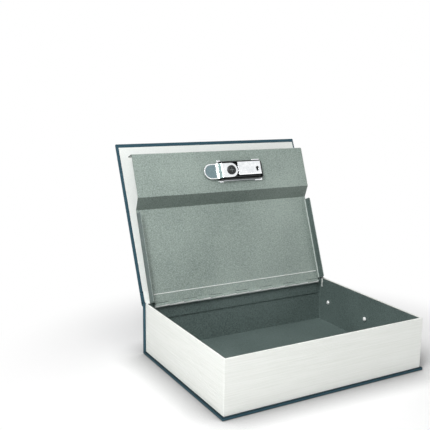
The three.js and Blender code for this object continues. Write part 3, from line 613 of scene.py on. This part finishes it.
def pageTree(height):
    tree, given, result = growthTree("pageLayers", [
        ("Layers", "Int", pages["layers"]), ("Layer height", "Float", height),
        ("Ruffle", "Float", pages["ruffle"]), ("Seed", "Int", pages["seed"]),
        ("Paper", "Material", pageEdges),
    ])
    add = partial(addNode, tree)
    cap = add("GeometryNodeInputNamedAttribute", {"Name": "cap"}, data_type="BOOLEAN")
    sockets = {"Geometry": given["Geometry"], "Selection": cap.outputs["Attribute"]}
    parts = add("GeometryNodeSeparateGeometry", sockets, domain="FACE").outputs
    rise = add("ShaderNodeCombineXYZ", {"Z": given["Layer height"]})
    stack = add("GeometryNodeMeshLine", {"Count": given["Layers"], "Offset": rise.outputs[0]})
    sockets = {"Points": stack.outputs["Mesh"], "Instance": parts["Inverted"]}
    copies = add("GeometryNodeInstanceOnPoints", sockets)
    total = addMath(tree, "MULTIPLY", given["Layers"], given["Layer height"])
    lift = add("ShaderNodeCombineXYZ", {"Z": total})
    top = add("GeometryNodeTransform", {"Geometry": parts["Selection"], "Translation": lift.outputs[0]})
    bottom = add("GeometryNodeFlipFaces", {"Mesh": parts["Selection"]})
    both = add("GeometryNodeJoinGeometry")
    for output in (copies.outputs["Instances"], top.outputs["Geometry"], bottom.outputs["Mesh"]):
        tree.links.new(output, both.inputs["Geometry"])
    real = add("GeometryNodeRealizeInstances", {"Geometry": both.outputs["Geometry"]})
    sockets = {"Geometry": real.outputs["Geometry"], "Distance": pages["weld"]}
    merged = add("GeometryNodeMergeByDistance", sockets)
    spread = add("FunctionNodeRandomValue", {"Seed": given["Seed"]}, data_type="FLOAT")
    pull = addMath(tree, "SUBTRACT", spread.outputs[1], 1.0)  # only inwards, never past the block
    amount = addMath(tree, "MULTIPLY", pull, given["Ruffle"])
    normal = add("GeometryNodeInputNormal")
    split = add("ShaderNodeSeparateXYZ", {0: normal.outputs[0]})
    level = add("ShaderNodeCombineXYZ", {"X": split.outputs["X"], "Y": split.outputs["Y"]})
    push = add("ShaderNodeVectorMath", {0: level.outputs[0], "Scale": amount}, operation="SCALE")
    sockets = {"Geometry": merged.outputs["Geometry"], "Offset": push.outputs[0]}
    moved = add("GeometryNodeSetPosition", sockets)
    sockets = {"Geometry": moved.outputs["Geometry"], "Material": given["Paper"]}
    coat = add("GeometryNodeSetMaterial", sockets)
    tree.links.new(coat.outputs["Geometry"], result["Geometry"])
    return tree


def makePages():
    mesh, height = pageLayer(*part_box("page_block"))
    piece = grown(meshPiece("pageLayers", mesh, pageEdges), pageTree(height))
    joinsTo(piece, "safe", "page_white", "page_block")


makePages()
print("pages stacked")


# places taken from the frame
def closedPoints(node, place):  # a node's points in the drawing of the closed lid or cover
    back = place.inverted()
    return [back @ vertex.co for vertex in nodes[node].data.vertices]


def closedBox(node, place):  # its corners in the same drawing
    points = closedPoints(node, place)
    return tuple(Vector([pick(point[i] for point in points) for i in range(3)]) for pick in (min, max))


def refinished(piece, material, place, test):  # tests each face's middle and the way it faces
    piece.data.materials.append(material)
    back = place.inverted()
    turn = back.to_3x3()
    for face in piece.data.polygons:
        if test(back @ face.center, turn @ face.normal):
            face.material_index = len(piece.data.materials) - 1


# boards and paper
boards = {"edge": 0.2 * mm, "thinEdge": 0.1 * mm, "sharp": 25, "clothSharp": 60, "shadedUp": 0.4}


def makeBoard(node, body, finish):
    return softEdged(node, body, "bookcloth", finish, boards["edge"], boards["sharp"])


backBoard = makeBoard("back_cover_board", "safe", flatCloth)
# the back board's upward faces get the darker cloth as painted shade
refinished(backBoard, shadedRimCloth, Matrix(), lambda at, way: way.z > boards["shadedUp"])
makeBoard("spine_board", "safe", standingCloth)
makeBoard("front_cover_board", "cover", leaningCloth)
makeBoard("cover_joint_strip", "joint_cloth", leaningCloth)
softEdged(
    "cover_joint_cloth", "joint_cloth", "bookcloth", standingCloth, boards["thinEdge"], boards["clothSharp"])
softEdged("front_endpaper", "cover", "paper_white", mattPaper, boards["thinEdge"])
print("boards covered")


# cloth and paper over the two folds of the cover
jointCloth = {
    "thickness": 0.3 * mm, "sideMargin": 0.4 * mm,
    "onSpine": 9 * mm, "onStrip": 0.8 * mm, "onBoard": 7 * mm,
    "bow": 0.75 * mm, "dip": 0.3 * mm, "grooveReach": 2 * mm, "stepsAcross": 40, "stepsAlong": 6,
}
guardLeaf = {
    "gap": 0.05 * mm, "bend": ((-4.5 * mm, 0), (-1.2 * mm, 0.1 * mm), (0.6 * mm, 1.1 * mm)),
    "onStrip": 2.4 * mm, "hingeStart": 0.8 * mm, "hingeEnd": 0.1 * mm,
}


def smoothPath(points, count):  # a soft curve through the points
    path = []
    for i in range(len(points) - 1):
        before, start = points[max(0, i - 1)], points[i]
        end, after = points[i + 1], points[min(len(points) - 1, i + 2)]
        for k in range(count):
            t = k / count
            path.append(0.5 * (
                2 * start + (end - before) * t + (2 * before - 5 * start + 4 * end - after) * t * t
                + (3 * start - before - 3 * end + after) * t ** 3))
    return path + [points[-1]]


def clothFold(name, points, material=leaningCloth, like="front_cover_board"):
    low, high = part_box(like)
    left, right = low.x + jointCloth["sideMargin"], high.x - jointCloth["sideMargin"]
    path = smoothPath(points, jointCloth["stepsAlong"])
    steps = jointCloth["stepsAcross"]
    verts = [(left + (right - left) * i / steps, p.y, p.z) for p in path for i in range(steps + 1)]
    row = steps + 1
    faces = [
        (k * row + i, k * row + i + 1, (k + 1) * row + i + 1, (k + 1) * row + i)
        for k in range(len(path) - 1) for i in range(steps)
    ]
    mesh = bpy.data.meshes.new(name)
    mesh.from_pydata(verts, [], faces)
    mesh.shade_smooth()
    piece = meshPiece(name, mesh, material)
    thicken(piece, jointCloth["thickness"], 0)
    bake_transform(piece)


def makeClothFolds():
    stripLow, stripHigh = closedBox("cover_joint_strip", coverPlace)
    boardHigh = closedBox("front_cover_board", coverPlace)[1]
    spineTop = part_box("spine_board")[1]
    half = jointCloth["thickness"] / 2

    def onCover(y, z):
        return coverPlace @ Vector((0, y, z))

    lift = stripHigh.z + half
    middle = (stripLow.y + stripHigh.y) / 2
    foot = Vector((0, spineTop.y + half, spineTop.z - jointCloth["onSpine"]))
    leaves = Vector((0, spineTop.y + half, spineTop.z - jointCloth["onSpine"] / 2))
    lands = onCover(stripHigh.y - jointCloth["onStrip"], lift)
    bulge = (leaves + lands) / 2 + Vector((0, jointCloth["bow"], -jointCloth["bow"]))
    clothFold(
        "spineFoldCloth", [foot, leaves, bulge, lands, onCover(middle, lift)])
    groove = (stripLow.y + boardHigh.y) / 2
    before, after = groove + jointCloth["grooveReach"], groove - jointCloth["grooveReach"]
    clothFold("grooveCloth", [
        onCover(middle, lift), onCover(before, lift), onCover(groove, lift - jointCloth["dip"]),
        onCover(after, lift), onCover(groove - jointCloth["onBoard"], lift),
    ])
    paperLow, paperHigh = closedBox("front_endpaper", coverPlace)
    inside = (paperLow.z + paperHigh.z) / 2
    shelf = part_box("page_block")[1].z + half + guardLeaf["gap"]
    starts, turns, corner = (Vector((0, spineTop.y + y, shelf + z)) for y, z in guardLeaf["bend"])
    upper = onCover(stripHigh.y - guardLeaf["onStrip"], inside)
    clothFold(
        "guardPaper", [starts, turns, corner, upper, onCover(middle, inside)],
        mattPaper, "front_endpaper")
    start, end = stripHigh.y - guardLeaf["hingeStart"], paperHigh.y - guardLeaf["hingeEnd"]
    clothFold(
        "hingePaper", [onCover(y, inside) for y in (start, middle, before, groove, end)],
        mattPaper, "front_endpaper")


makeClothFolds()
print("cloth laid over the folds")


# foil lines on the cover and the spine
foil = {
    "panelCentre": (63.6 * mm, -111.7 * mm), "panelSize": (50 * mm, 82 * mm),
    "lines": ((0, 1.1 * mm), (2.3 * mm, 0.6 * mm)), "height": 0.05 * mm, "sink": 0.05 * mm,
    "rulesFromHead": (29 * mm, 31.4 * mm, 70.4 * mm, 72.8 * mm),
    "ruleWidth": 0.9 * mm, "ruleMargin": 1.6 * mm,
}


def frameLine(shape, inset, width, low, high):  # one line round the panel
    x, y = foil["panelCentre"]
    halfX, halfY = (side / 2 - inset for side in foil["panelSize"])
    rings = []
    for shrink, z in ((0, low), (0, high), (width, high), (width, low)):
        rings.append([
            shape.verts.new((x + sideX * (halfX - shrink), y + sideY * (halfY - shrink), z))
            for sideX, sideY in ((-1, -1), (1, -1), (1, 1), (-1, 1))
        ])
    for i in range(4):
        j = (i + 1) % 4
        for ring, following in zip(rings, rings[1:] + rings[:1]):
            shape.faces.new((ring[i], ring[j], following[j], following[i]))


def makeFoil():
    sink, height = foil["sink"], foil["height"]
    top = closedBox("front_cover_board", coverPlace)[1].z
    shape = bmesh.new()
    for inset, width in foil["lines"]:
        frameLine(shape, inset, width, top - sink, top + height)
    bmesh.ops.recalc_face_normals(shape, faces=shape.faces)
    panel = meshPiece("coverFoil", meshOf(shape, "coverFoil", coverPlace), silverFoil)
    joinsTo(panel, "cover", "chrome_plate")
    low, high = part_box("spine_board")
    shape = bmesh.new()
    for fromHead in foil["rulesFromHead"]:
        centre = (high.x - fromHead, high.y + (height - sink) / 2, (low.z + high.z) / 2)
        addBox(shape, centre, (foil["ruleWidth"], height + sink, high.z - low.z - 2 * foil["ruleMargin"]))
    rules = meshPiece("spineFoil", meshOf(shape, "spineFoil"), silverFoil)
    joinsTo(rules, "safe", "chrome_plate")


makeFoil()
print("foil lines pressed")


# steel work
steelwork = {
    "edge": 0.22 * mm, "thinEdge": 0.15 * mm, "rim": 0.6 * mm, "lip": 4 * mm, "creaseFrom": 70 * mm,
    # barrel radius, and the height band of the barrel's painted highlight
    "barrel": 2.65 * mm, "highlightBand": (-1.9 * mm, 0.5 * mm),
}
# the whole box takes the darkened paint as painted shade
steelBox = softEdged("steel_box", "safe", "grey_paint", shadedGreyPaint, steelwork["edge"])
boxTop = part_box("steel_box")[1].z
# the box's top edge takes the near-black paint as painted shadow
refinished(steelBox, rimShadowPaint, Matrix(), lambda at, way: at.z > boxTop - steelwork["rim"] and way.z > 0.3)
lidSheet = softEdged("lid_panel", "lid", "grey_paint", greyPaint, steelwork["edge"])
lidFront = closedBox("lid_panel", lidPlace)[0].y
# the sloped band faces take the darker paint as painted shade
refinished(lidSheet, bandShadePaint, lidPlace, lambda at, way: way.z < -0.3 and way.y > 0.3)
# the lid's side flanges take the darkened paint as painted shade
refinished(lidSheet, shadedGreyPaint, lidPlace, lambda at, way: abs(way.x) > 0.8)
# the lid's front lip takes the near-black paint as painted shadow
refinished(lidSheet, rimShadowPaint, lidPlace, lambda at, way: (
    abs(way.x) > 0.5 and at.y < lidFront + steelwork["lip"]))
# inner-bend faces of the flanges take the pale paint as a painted highlight
refinished(lidSheet, creaseHighlightPaint, lidPlace, lambda at, way: (
    0.2 < abs(way.x) < 0.9 and way.z < -0.3 and at.y > lidFront + steelwork["creaseFrom"]))
hingeAxis = Vector(joints["lid_hinge"]["pos_m"])


def onBarrel(at, way):  # painted highlight, with some wear, along the front of the hinge's barrel
    low, high = steelwork["highlightBand"]
    y, z = at.y - hingeAxis.y, at.z - hingeAxis.z
    return math.hypot(y, z) < steelwork["barrel"] and low < z < high and y < 0


boxLeaf = softEdged("box_hinge_leaf", "safe", "grey_paint", greyPaint, steelwork["thinEdge"])
# the box leaf below the barrel takes the darkened paint as painted shade
refinished(boxLeaf, shadedGreyPaint, Matrix(), lambda at, way: at.z < hingeAxis.z - steelwork["barrel"])
# front of the barrel: painted highlight with some wear
refinished(boxLeaf, wearAndHighlightPaint, Matrix(), onBarrel)
lidLeaf = softEdged("lid_hinge_leaf", "lid", "grey_paint", greyPaint, steelwork["thinEdge"])
# front of the barrel: painted highlight with some wear
refinished(lidLeaf, wearAndHighlightPaint, Matrix(), onBarrel)
leafBead = {"radius": 0.5 * mm, "ends": 0.5 * mm, "edgeBand": 0.1 * mm, "steps": 8}
flangeFold = {
    "sheet": 1 * mm, "radius": 1.2 * mm, "start": 71.5 * mm, "end": -4.5 * mm, "bite": 0.1 * mm, "steps": 6,
}
cornerTab = {
    "x": (126.4 * mm, 127.9 * mm), "y": (91.1 * mm, 93.2 * mm), "z": (50.6 * mm, 61.8 * mm),
    "edge": 0.2 * mm,
}


def makeLeafBead():  # rolled edge along the far side of the lid's hinge leaf, painted near white as a highlight with some wear
    low, high = closedBox("lid_hinge_leaf", lidPlace)
    points = closedPoints("lid_hinge_leaf", lidPlace)
    face = min(point.z for point in points if point.y < low.y + leafBead["edgeBand"])
    radius, steps = leafBead["radius"], leafBead["steps"]
    angles = [math.pi * i / steps for i in range(steps + 1)]
    outline = [(low.y + radius - radius * math.cos(a), face - radius * math.sin(a)) for a in angles]
    ends = (low.x + leafBead["ends"], high.x - leafBead["ends"])
    shape = bmesh.new()
    addBar(shape, [[(x, y, z) for y, z in outline] for x in ends])
    bmesh.ops.recalc_face_normals(shape, faces=shape.faces)
    piece = meshPiece("leafBead", meshOf(shape, "leafBead", lidPlace), wearAndHighlightPaint)
    joinsTo(piece, "lid", "grey_paint")


def makeFlangeFolds():  # rounded inner corners where the lid's side flanges are folded, painted pale as a highlight along the bend
    radius, steps, sheet = flangeFold["radius"], flangeFold["steps"], flangeFold["sheet"]
    angles = [math.pi / 2 * i / steps for i in range(steps + 1)]
    ends = (lidFront + flangeFold["start"], flangeFold["end"])
    high = closedBox("lid_panel", lidPlace)[1]
    shape = bmesh.new()
    for side in (-1, 1):
        corner = Vector((side * (high.x - sheet), 0, high.z - sheet))
        middle = corner - Vector((side * radius, 0, radius))
        outline = [middle + radius * Vector((side * math.cos(a), 0, math.sin(a))) for a in angles]
        outline.append(corner + Vector((side, 0, 1)) * flangeFold["bite"])
        addBar(shape, [[lidPlace @ (point + Vector((0, y, 0))) for point in outline] for y in ends])
    bmesh.ops.recalc_face_normals(shape, faces=shape.faces)
    piece = meshPiece("flangeFolds", meshOf(shape, "flangeFolds"), creaseHighlightPaint)
    joinsTo(piece, "lid", "grey_paint")


def makeCornerTabs():  # tabs of the page moulding that stand in the box's corner notches
    shape = bmesh.new()
    centre = [sum(cornerTab[axis]) / 2 for axis in "xyz"]
    size = [cornerTab[axis][1] - cornerTab[axis][0] for axis in "xyz"]
    for side in (-1, 1):
        addBox(shape, (side * centre[0], centre[1], centre[2]), size)
    breakEdges(shape, cornerTab["edge"])
    piece = meshPiece("cornerTabs", meshOf(shape, "cornerTabs"), pageEdges)
    joinsTo(piece, "safe", "page_white")


makeLeafBead()
makeFlangeFolds()
makeCornerTabs()
softEdged("hinge_pin", "safe", "bright_steel", satinSteel, steelwork["edge"])
# the keeper bracket takes the darkened paint as painted shade
softEdged("keeper_bracket", "safe", "grey_paint", shadedGreyPaint, steelwork["edge"])
print("steel work painted")


# lock
lock = {
    "edge": 0.2 * mm, "fineEdge": 0.12 * mm, "leverEdge": 0.1 * mm, "springEdge": 0.05 * mm,
    "footReach": 2.4 * mm, "footSkin": 0.05 * mm, "bendBand": (-12.4 * mm, -8.4 * mm),
    "recess": 0.8 * mm, "recessBand": 0.12 * mm, "screwRim": 0.4 * mm,
}
frameFlange = {"depth": 1.2 * mm, "ends": 3 * mm, "edge": 0.1 * mm, "feetFrom": 0.3 * mm}


def makeFrameFlange(low, high, wall):  # thin flange between the frame's rear feet, against the lid
    points = closedPoints("lock_frame", lidPlace)
    feet = [point.z for point in points if point.y > wall + frameFlange["feetFrom"]]
    top, base, depth = min(feet), max(feet), frameFlange["depth"]
    shape = bmesh.new()
    centre = ((low.x + high.x) / 2, wall + depth / 2, (top + base) / 2)
    addBox(shape, centre, (high.x - low.x - frameFlange["ends"], depth, base - top))
    breakEdges(shape, frameFlange["edge"])
    piece = meshPiece("frameFlange", meshOf(shape, "frameFlange", lidPlace), satinSteel)
    joinsTo(piece, "lid", "chrome_plate")


def makeInnerLock():  # what shows on the inside of the lid
    low, high = closedBox("lock_frame", lidPlace)
    middle, wall = (low.y + high.y) / 2, (high.y - low.y) / 2 - lock["footReach"]
    bendStart, bendEnd = lock["bendBand"]
    # the frame's ring is near black as painted shadow; only its feet keep the chrome
    ring = softEdged("lock_frame", "lid", "chrome_plate", shadowBlack, lock["fineEdge"])
    refinished(ring, chromePlate, lidPlace, lambda at, way: abs(at.y - middle) > wall + lock["footSkin"])
    makeFrameFlange(low, high, middle + wall)
    plate = softEdged("lock_cover_plate", "lid", "chrome_plate", chromePlate, lock["edge"])
    # the cover plate's sides and back take the near black as painted shadow
    refinished(plate, shadowBlack, lidPlace, lambda at, way: way.z > -0.2)
    recessed = closedBox("latch_tongue", lidPlace)[1].z - lock["recess"]
    tongue = softEdged(
        "latch_tongue", "latch", "chrome_plate", chromePlate, lock["edge"], cuts=lock["bendBand"])
    # the floor of the tongue's recess takes the teal-grey colour
    refinished(tongue, tealRecessFace, lidPlace, lambda at, way: (
        way.z < -0.9 and abs(recessed - at.z) < lock["recessBand"]))
    # the bend's sloped faces take the painted reflection
    refinished(tongue, bendReflectionFace, lidPlace, lambda at, way: (
        way.z < -0.3 and abs(way.y) < 0.1 and bendStart < at.x < bendEnd))
    face = closedBox("tongue_screw", lidPlace)[0].z
    screw = softEdged("tongue_screw", "latch", "dark_steel", darkSteel, lock["fineEdge"])
    # the cross recess is lighter than the head as a painted highlight
    refinished(screw, castMetal, lidPlace, lambda at, way: way.z < -0.9 and at.z > face + lock["screwRim"])
    softEdged("reset_lever", "reset", "dark_steel", darkSteel, lock["leverEdge"])
    # the slide bar is bright steel, given the dark screw steel as painted shade
    softEdged("slide_bar", "latch", "bright_steel", darkSteel, lock["fineEdge"])
    softEdged("detent_spring", "lid", "bright_steel", satinSteel, lock["springEdge"])


def makeOuterLock():  # what shows on the outside of the lid
    softEdged("lock_housing", "lid", "cast_grey", castMetal, lock["edge"])
    softEdged("thumb_slide", "latch", "cast_grey", castMetal, lock["edge"])
    softEdged("dial_shaft", "lid", "bright_steel", satinSteel, lock["edge"])
    for node, side in (("front_trim", -1), ("rear_trim", 1)):
        trim = softEdged(node, "lid", "brass_trim", brassBright, lock["fineEdge"])
        # the outer side of each trim takes the near black as painted shadow
        refinished(trim, shadowBlack, lidPlace, lambda at, way: way.y * side > 0.7)


numerals = {
    "height": 3.5 * mm, "width": 4.3 * mm, "lift": 0.05 * mm, "thickness": 0.12 * mm, "column": 2.8 * mm,
    "slices": 7, "perDial": 10, "weld": 1e-5,
}


def numeralMesh(digit):  # one flat numeral, as wide and high as its outline
    letters = bpy.data.curves.new("numeral", "FONT")
    letters.body = str(digit)
    holder = bpy.data.objects.new("numeral", letters)
    bpy.context.scene.collection.objects.link(holder)
    bpy.context.view_layer.update()
    mesh = bpy.data.meshes.new_from_object(holder.evaluated_get(bpy.context.evaluated_depsgraph_get()))
    bpy.data.objects.remove(holder)
    return mesh


def numeralOn(shape, digit, centre, radius, widest):  # wraps one numeral round a dial
    flat = bmesh.new()
    flat.from_mesh(numeralMesh(digit))
    bmesh.ops.remove_doubles(flat, verts=flat.verts, dist=numerals["weld"])
    xs = [vertex.co.x for vertex in flat.verts]
    ys = [vertex.co.y for vertex in flat.verts]
    across, up = numerals["width"] / widest, numerals["height"] / (max(ys) - min(ys))
    middleX, middleY = (min(xs) + max(xs)) / 2, (min(ys) + max(ys)) / 2
    for vertex in flat.verts:
        vertex.co = Vector(((vertex.co.x - middleX) * across, (vertex.co.y - middleY) * up, 0))
    for k in range(1, numerals["slices"]):
        cutAcross(flat, (0, (k / numerals["slices"] - 0.5) * numerals["height"], 0), (0, 1, 0))
    turn = -2 * math.pi * digit / numerals["perDial"]
    for vertex in flat.verts:
        angle = turn + vertex.co.y / radius
        vertex.co = centre + Vector((vertex.co.x, radius * math.sin(angle), radius * math.cos(angle)))
    bmesh.ops.triangulate(flat, faces=flat.faces)
    shape.from_mesh(meshOf(flat, "numeral"))


def makeDials():
    zero = numeralMesh(0)
    widest = max(v.co.x for v in zero.vertices) - min(v.co.x for v in zero.vertices)
    for number, body in enumerate(("first_dial", "second_dial", "third_dial"), 1):
        node, name = f"number_dial_{number}", f"dialNumerals{number}"
        softEdged(node, body, "dial_black", dialBlack, lock["fineEdge"])
        low, high = closedBox(node, lidPlace)
        radius = (high.z - low.z) / 2 + numerals["lift"]
        wheel = Vector((low.x + numerals["column"], (low.y + high.y) / 2, (low.z + high.z) / 2))
        shape = bmesh.new()
        for digit in range(numerals["perDial"]):
            numeralOn(shape, digit, wheel, radius, widest)
        piece = meshPiece(name, meshOf(shape, name, lidPlace), numberWhite)
        thicken(piece, numerals["thickness"], -1)
        joinsTo(piece, body, "dial_black")


makeInnerLock()
makeOuterLock()
makeDials()
print("lock assembled")


# rivets
rivets = {
    "shank": 1.6 * mm, "shankLength": 2.6 * mm, "steps": 24,
    "dome": ((1, 0), (0.98, 0.25), (0.88, 0.56), (0.68, 0.81), (0.38, 0.96), (0, 1)),
}


def rivetTree():
    tree, given, result = growthTree("rivetRows", [("Metal", "Material", nickelRivetGlare)])
    add = partial(addNode, tree)
    seat = add("GeometryNodeInputNamedAttribute", {"Name": "seat"}, data_type="BOOLEAN")
    sockets = {"Geometry": given["Geometry"], "Selection": seat.outputs["Attribute"]}
    parts = add("GeometryNodeSeparateGeometry", sockets, domain="POINT").outputs
    facing = add("GeometryNodeInputNamedAttribute", {"Name": "facing"}, data_type="FLOAT_VECTOR")
    turn = add("FunctionNodeAlignRotationToVector", {"Vector": facing.outputs["Attribute"]}, axis="Z")
    sockets = {
        "Points": parts["Selection"], "Instance": parts["Inverted"], "Rotation": turn.outputs["Rotation"],
    }
    copies = add("GeometryNodeInstanceOnPoints", sockets)
    real = add("GeometryNodeRealizeInstances", {"Geometry": copies.outputs["Instances"]})
    sockets = {"Geometry": real.outputs["Geometry"], "Material": given["Metal"]}
    coat = add("GeometryNodeSetMaterial", sockets)
    tree.links.new(coat.outputs["Geometry"], result["Geometry"])
    return tree


def turnedShape(profile, steps):  # profile of (radius, height), from axis to axis
    shape = bmesh.new()
    angles = [2 * math.pi * i / steps for i in range(steps)]
    rings = []
    for radius, height in profile:
        ring = [(radius * math.cos(a), radius * math.sin(a), height) for a in angles]
        rings.append([shape.verts.new(point) for point in (ring if radius > 0 else ring[:1])])
    for low, high in zip(rings, rings[1:]):
        for i in range(steps):
            j = (i + 1) % steps
            if len(low) == 1:
                shape.faces.new((low[0], high[j], high[i]))
            elif len(high) == 1:
                shape.faces.new((low[i], low[j], high[0]))
            else:
                shape.faces.new((low[i], low[j], high[j], high[i]))
    bmesh.ops.recalc_face_normals(shape, faces=shape.faces)
    return shape


def rivetSeats():  # (node, tip of the head, way it faces) for each rivet
    seats = []
    for number in (1, 2, 3):
        for side, way in (("left", 1), ("right", -1)):
            node = f"{side}_wall_rivet_{number}"
            low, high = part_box(node)
            middle = (low + high) / 2
            tip = Vector((high.x if way > 0 else low.x, middle.y, middle.z))
            seats.append((node, tip, Vector((way, 0, 0))))
    for number in (1, 2):
        node = f"keeper_rivet_{number}"
        low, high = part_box(node)
        middle = (low + high) / 2
        seats.append((node, Vector((middle.x, high.y, middle.z)), Vector((0, 1, 0))))
    return seats


def makeRivets():
    low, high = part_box("right_wall_rivet_1")
    radius, shank, depth = (high.y - low.y) / 2, rivets["shank"], rivets["shankLength"]
    rise = high.x - low.x - depth
    profile = [(0, -rise - depth), (shank, -rise - depth), (shank, -rise)]
    profile += [(radius * across, rise * (up - 1)) for across, up in rivets["dome"]]
    shape = turnedShape(profile, rivets["steps"])
    first = len(shape.verts)
    seats = rivetSeats()
    for _, tip, _ in seats:
        shape.verts.new(tip)
    mesh = meshOf(shape, "rivets")
    mesh.shade_smooth()
    tag = mesh.attributes.new("seat", "BOOLEAN", "POINT")
    tag.data.foreach_set("value", [i >= first for i in range(len(mesh.vertices))])
    facing = mesh.attributes.new("facing", "FLOAT_VECTOR", "POINT")
    for i, (_, _, way) in enumerate(seats):
        facing.data[first + i].vector = way
    # rivet heads take the near-white colour as a painted glare
    piece = grown(meshPiece("boxRivets", mesh, nickelRivetGlare), rivetTree())
    joinsTo(piece, "safe", "bright_steel", *[node for node, _, _ in seats])


makeRivets()
print("rivets set")
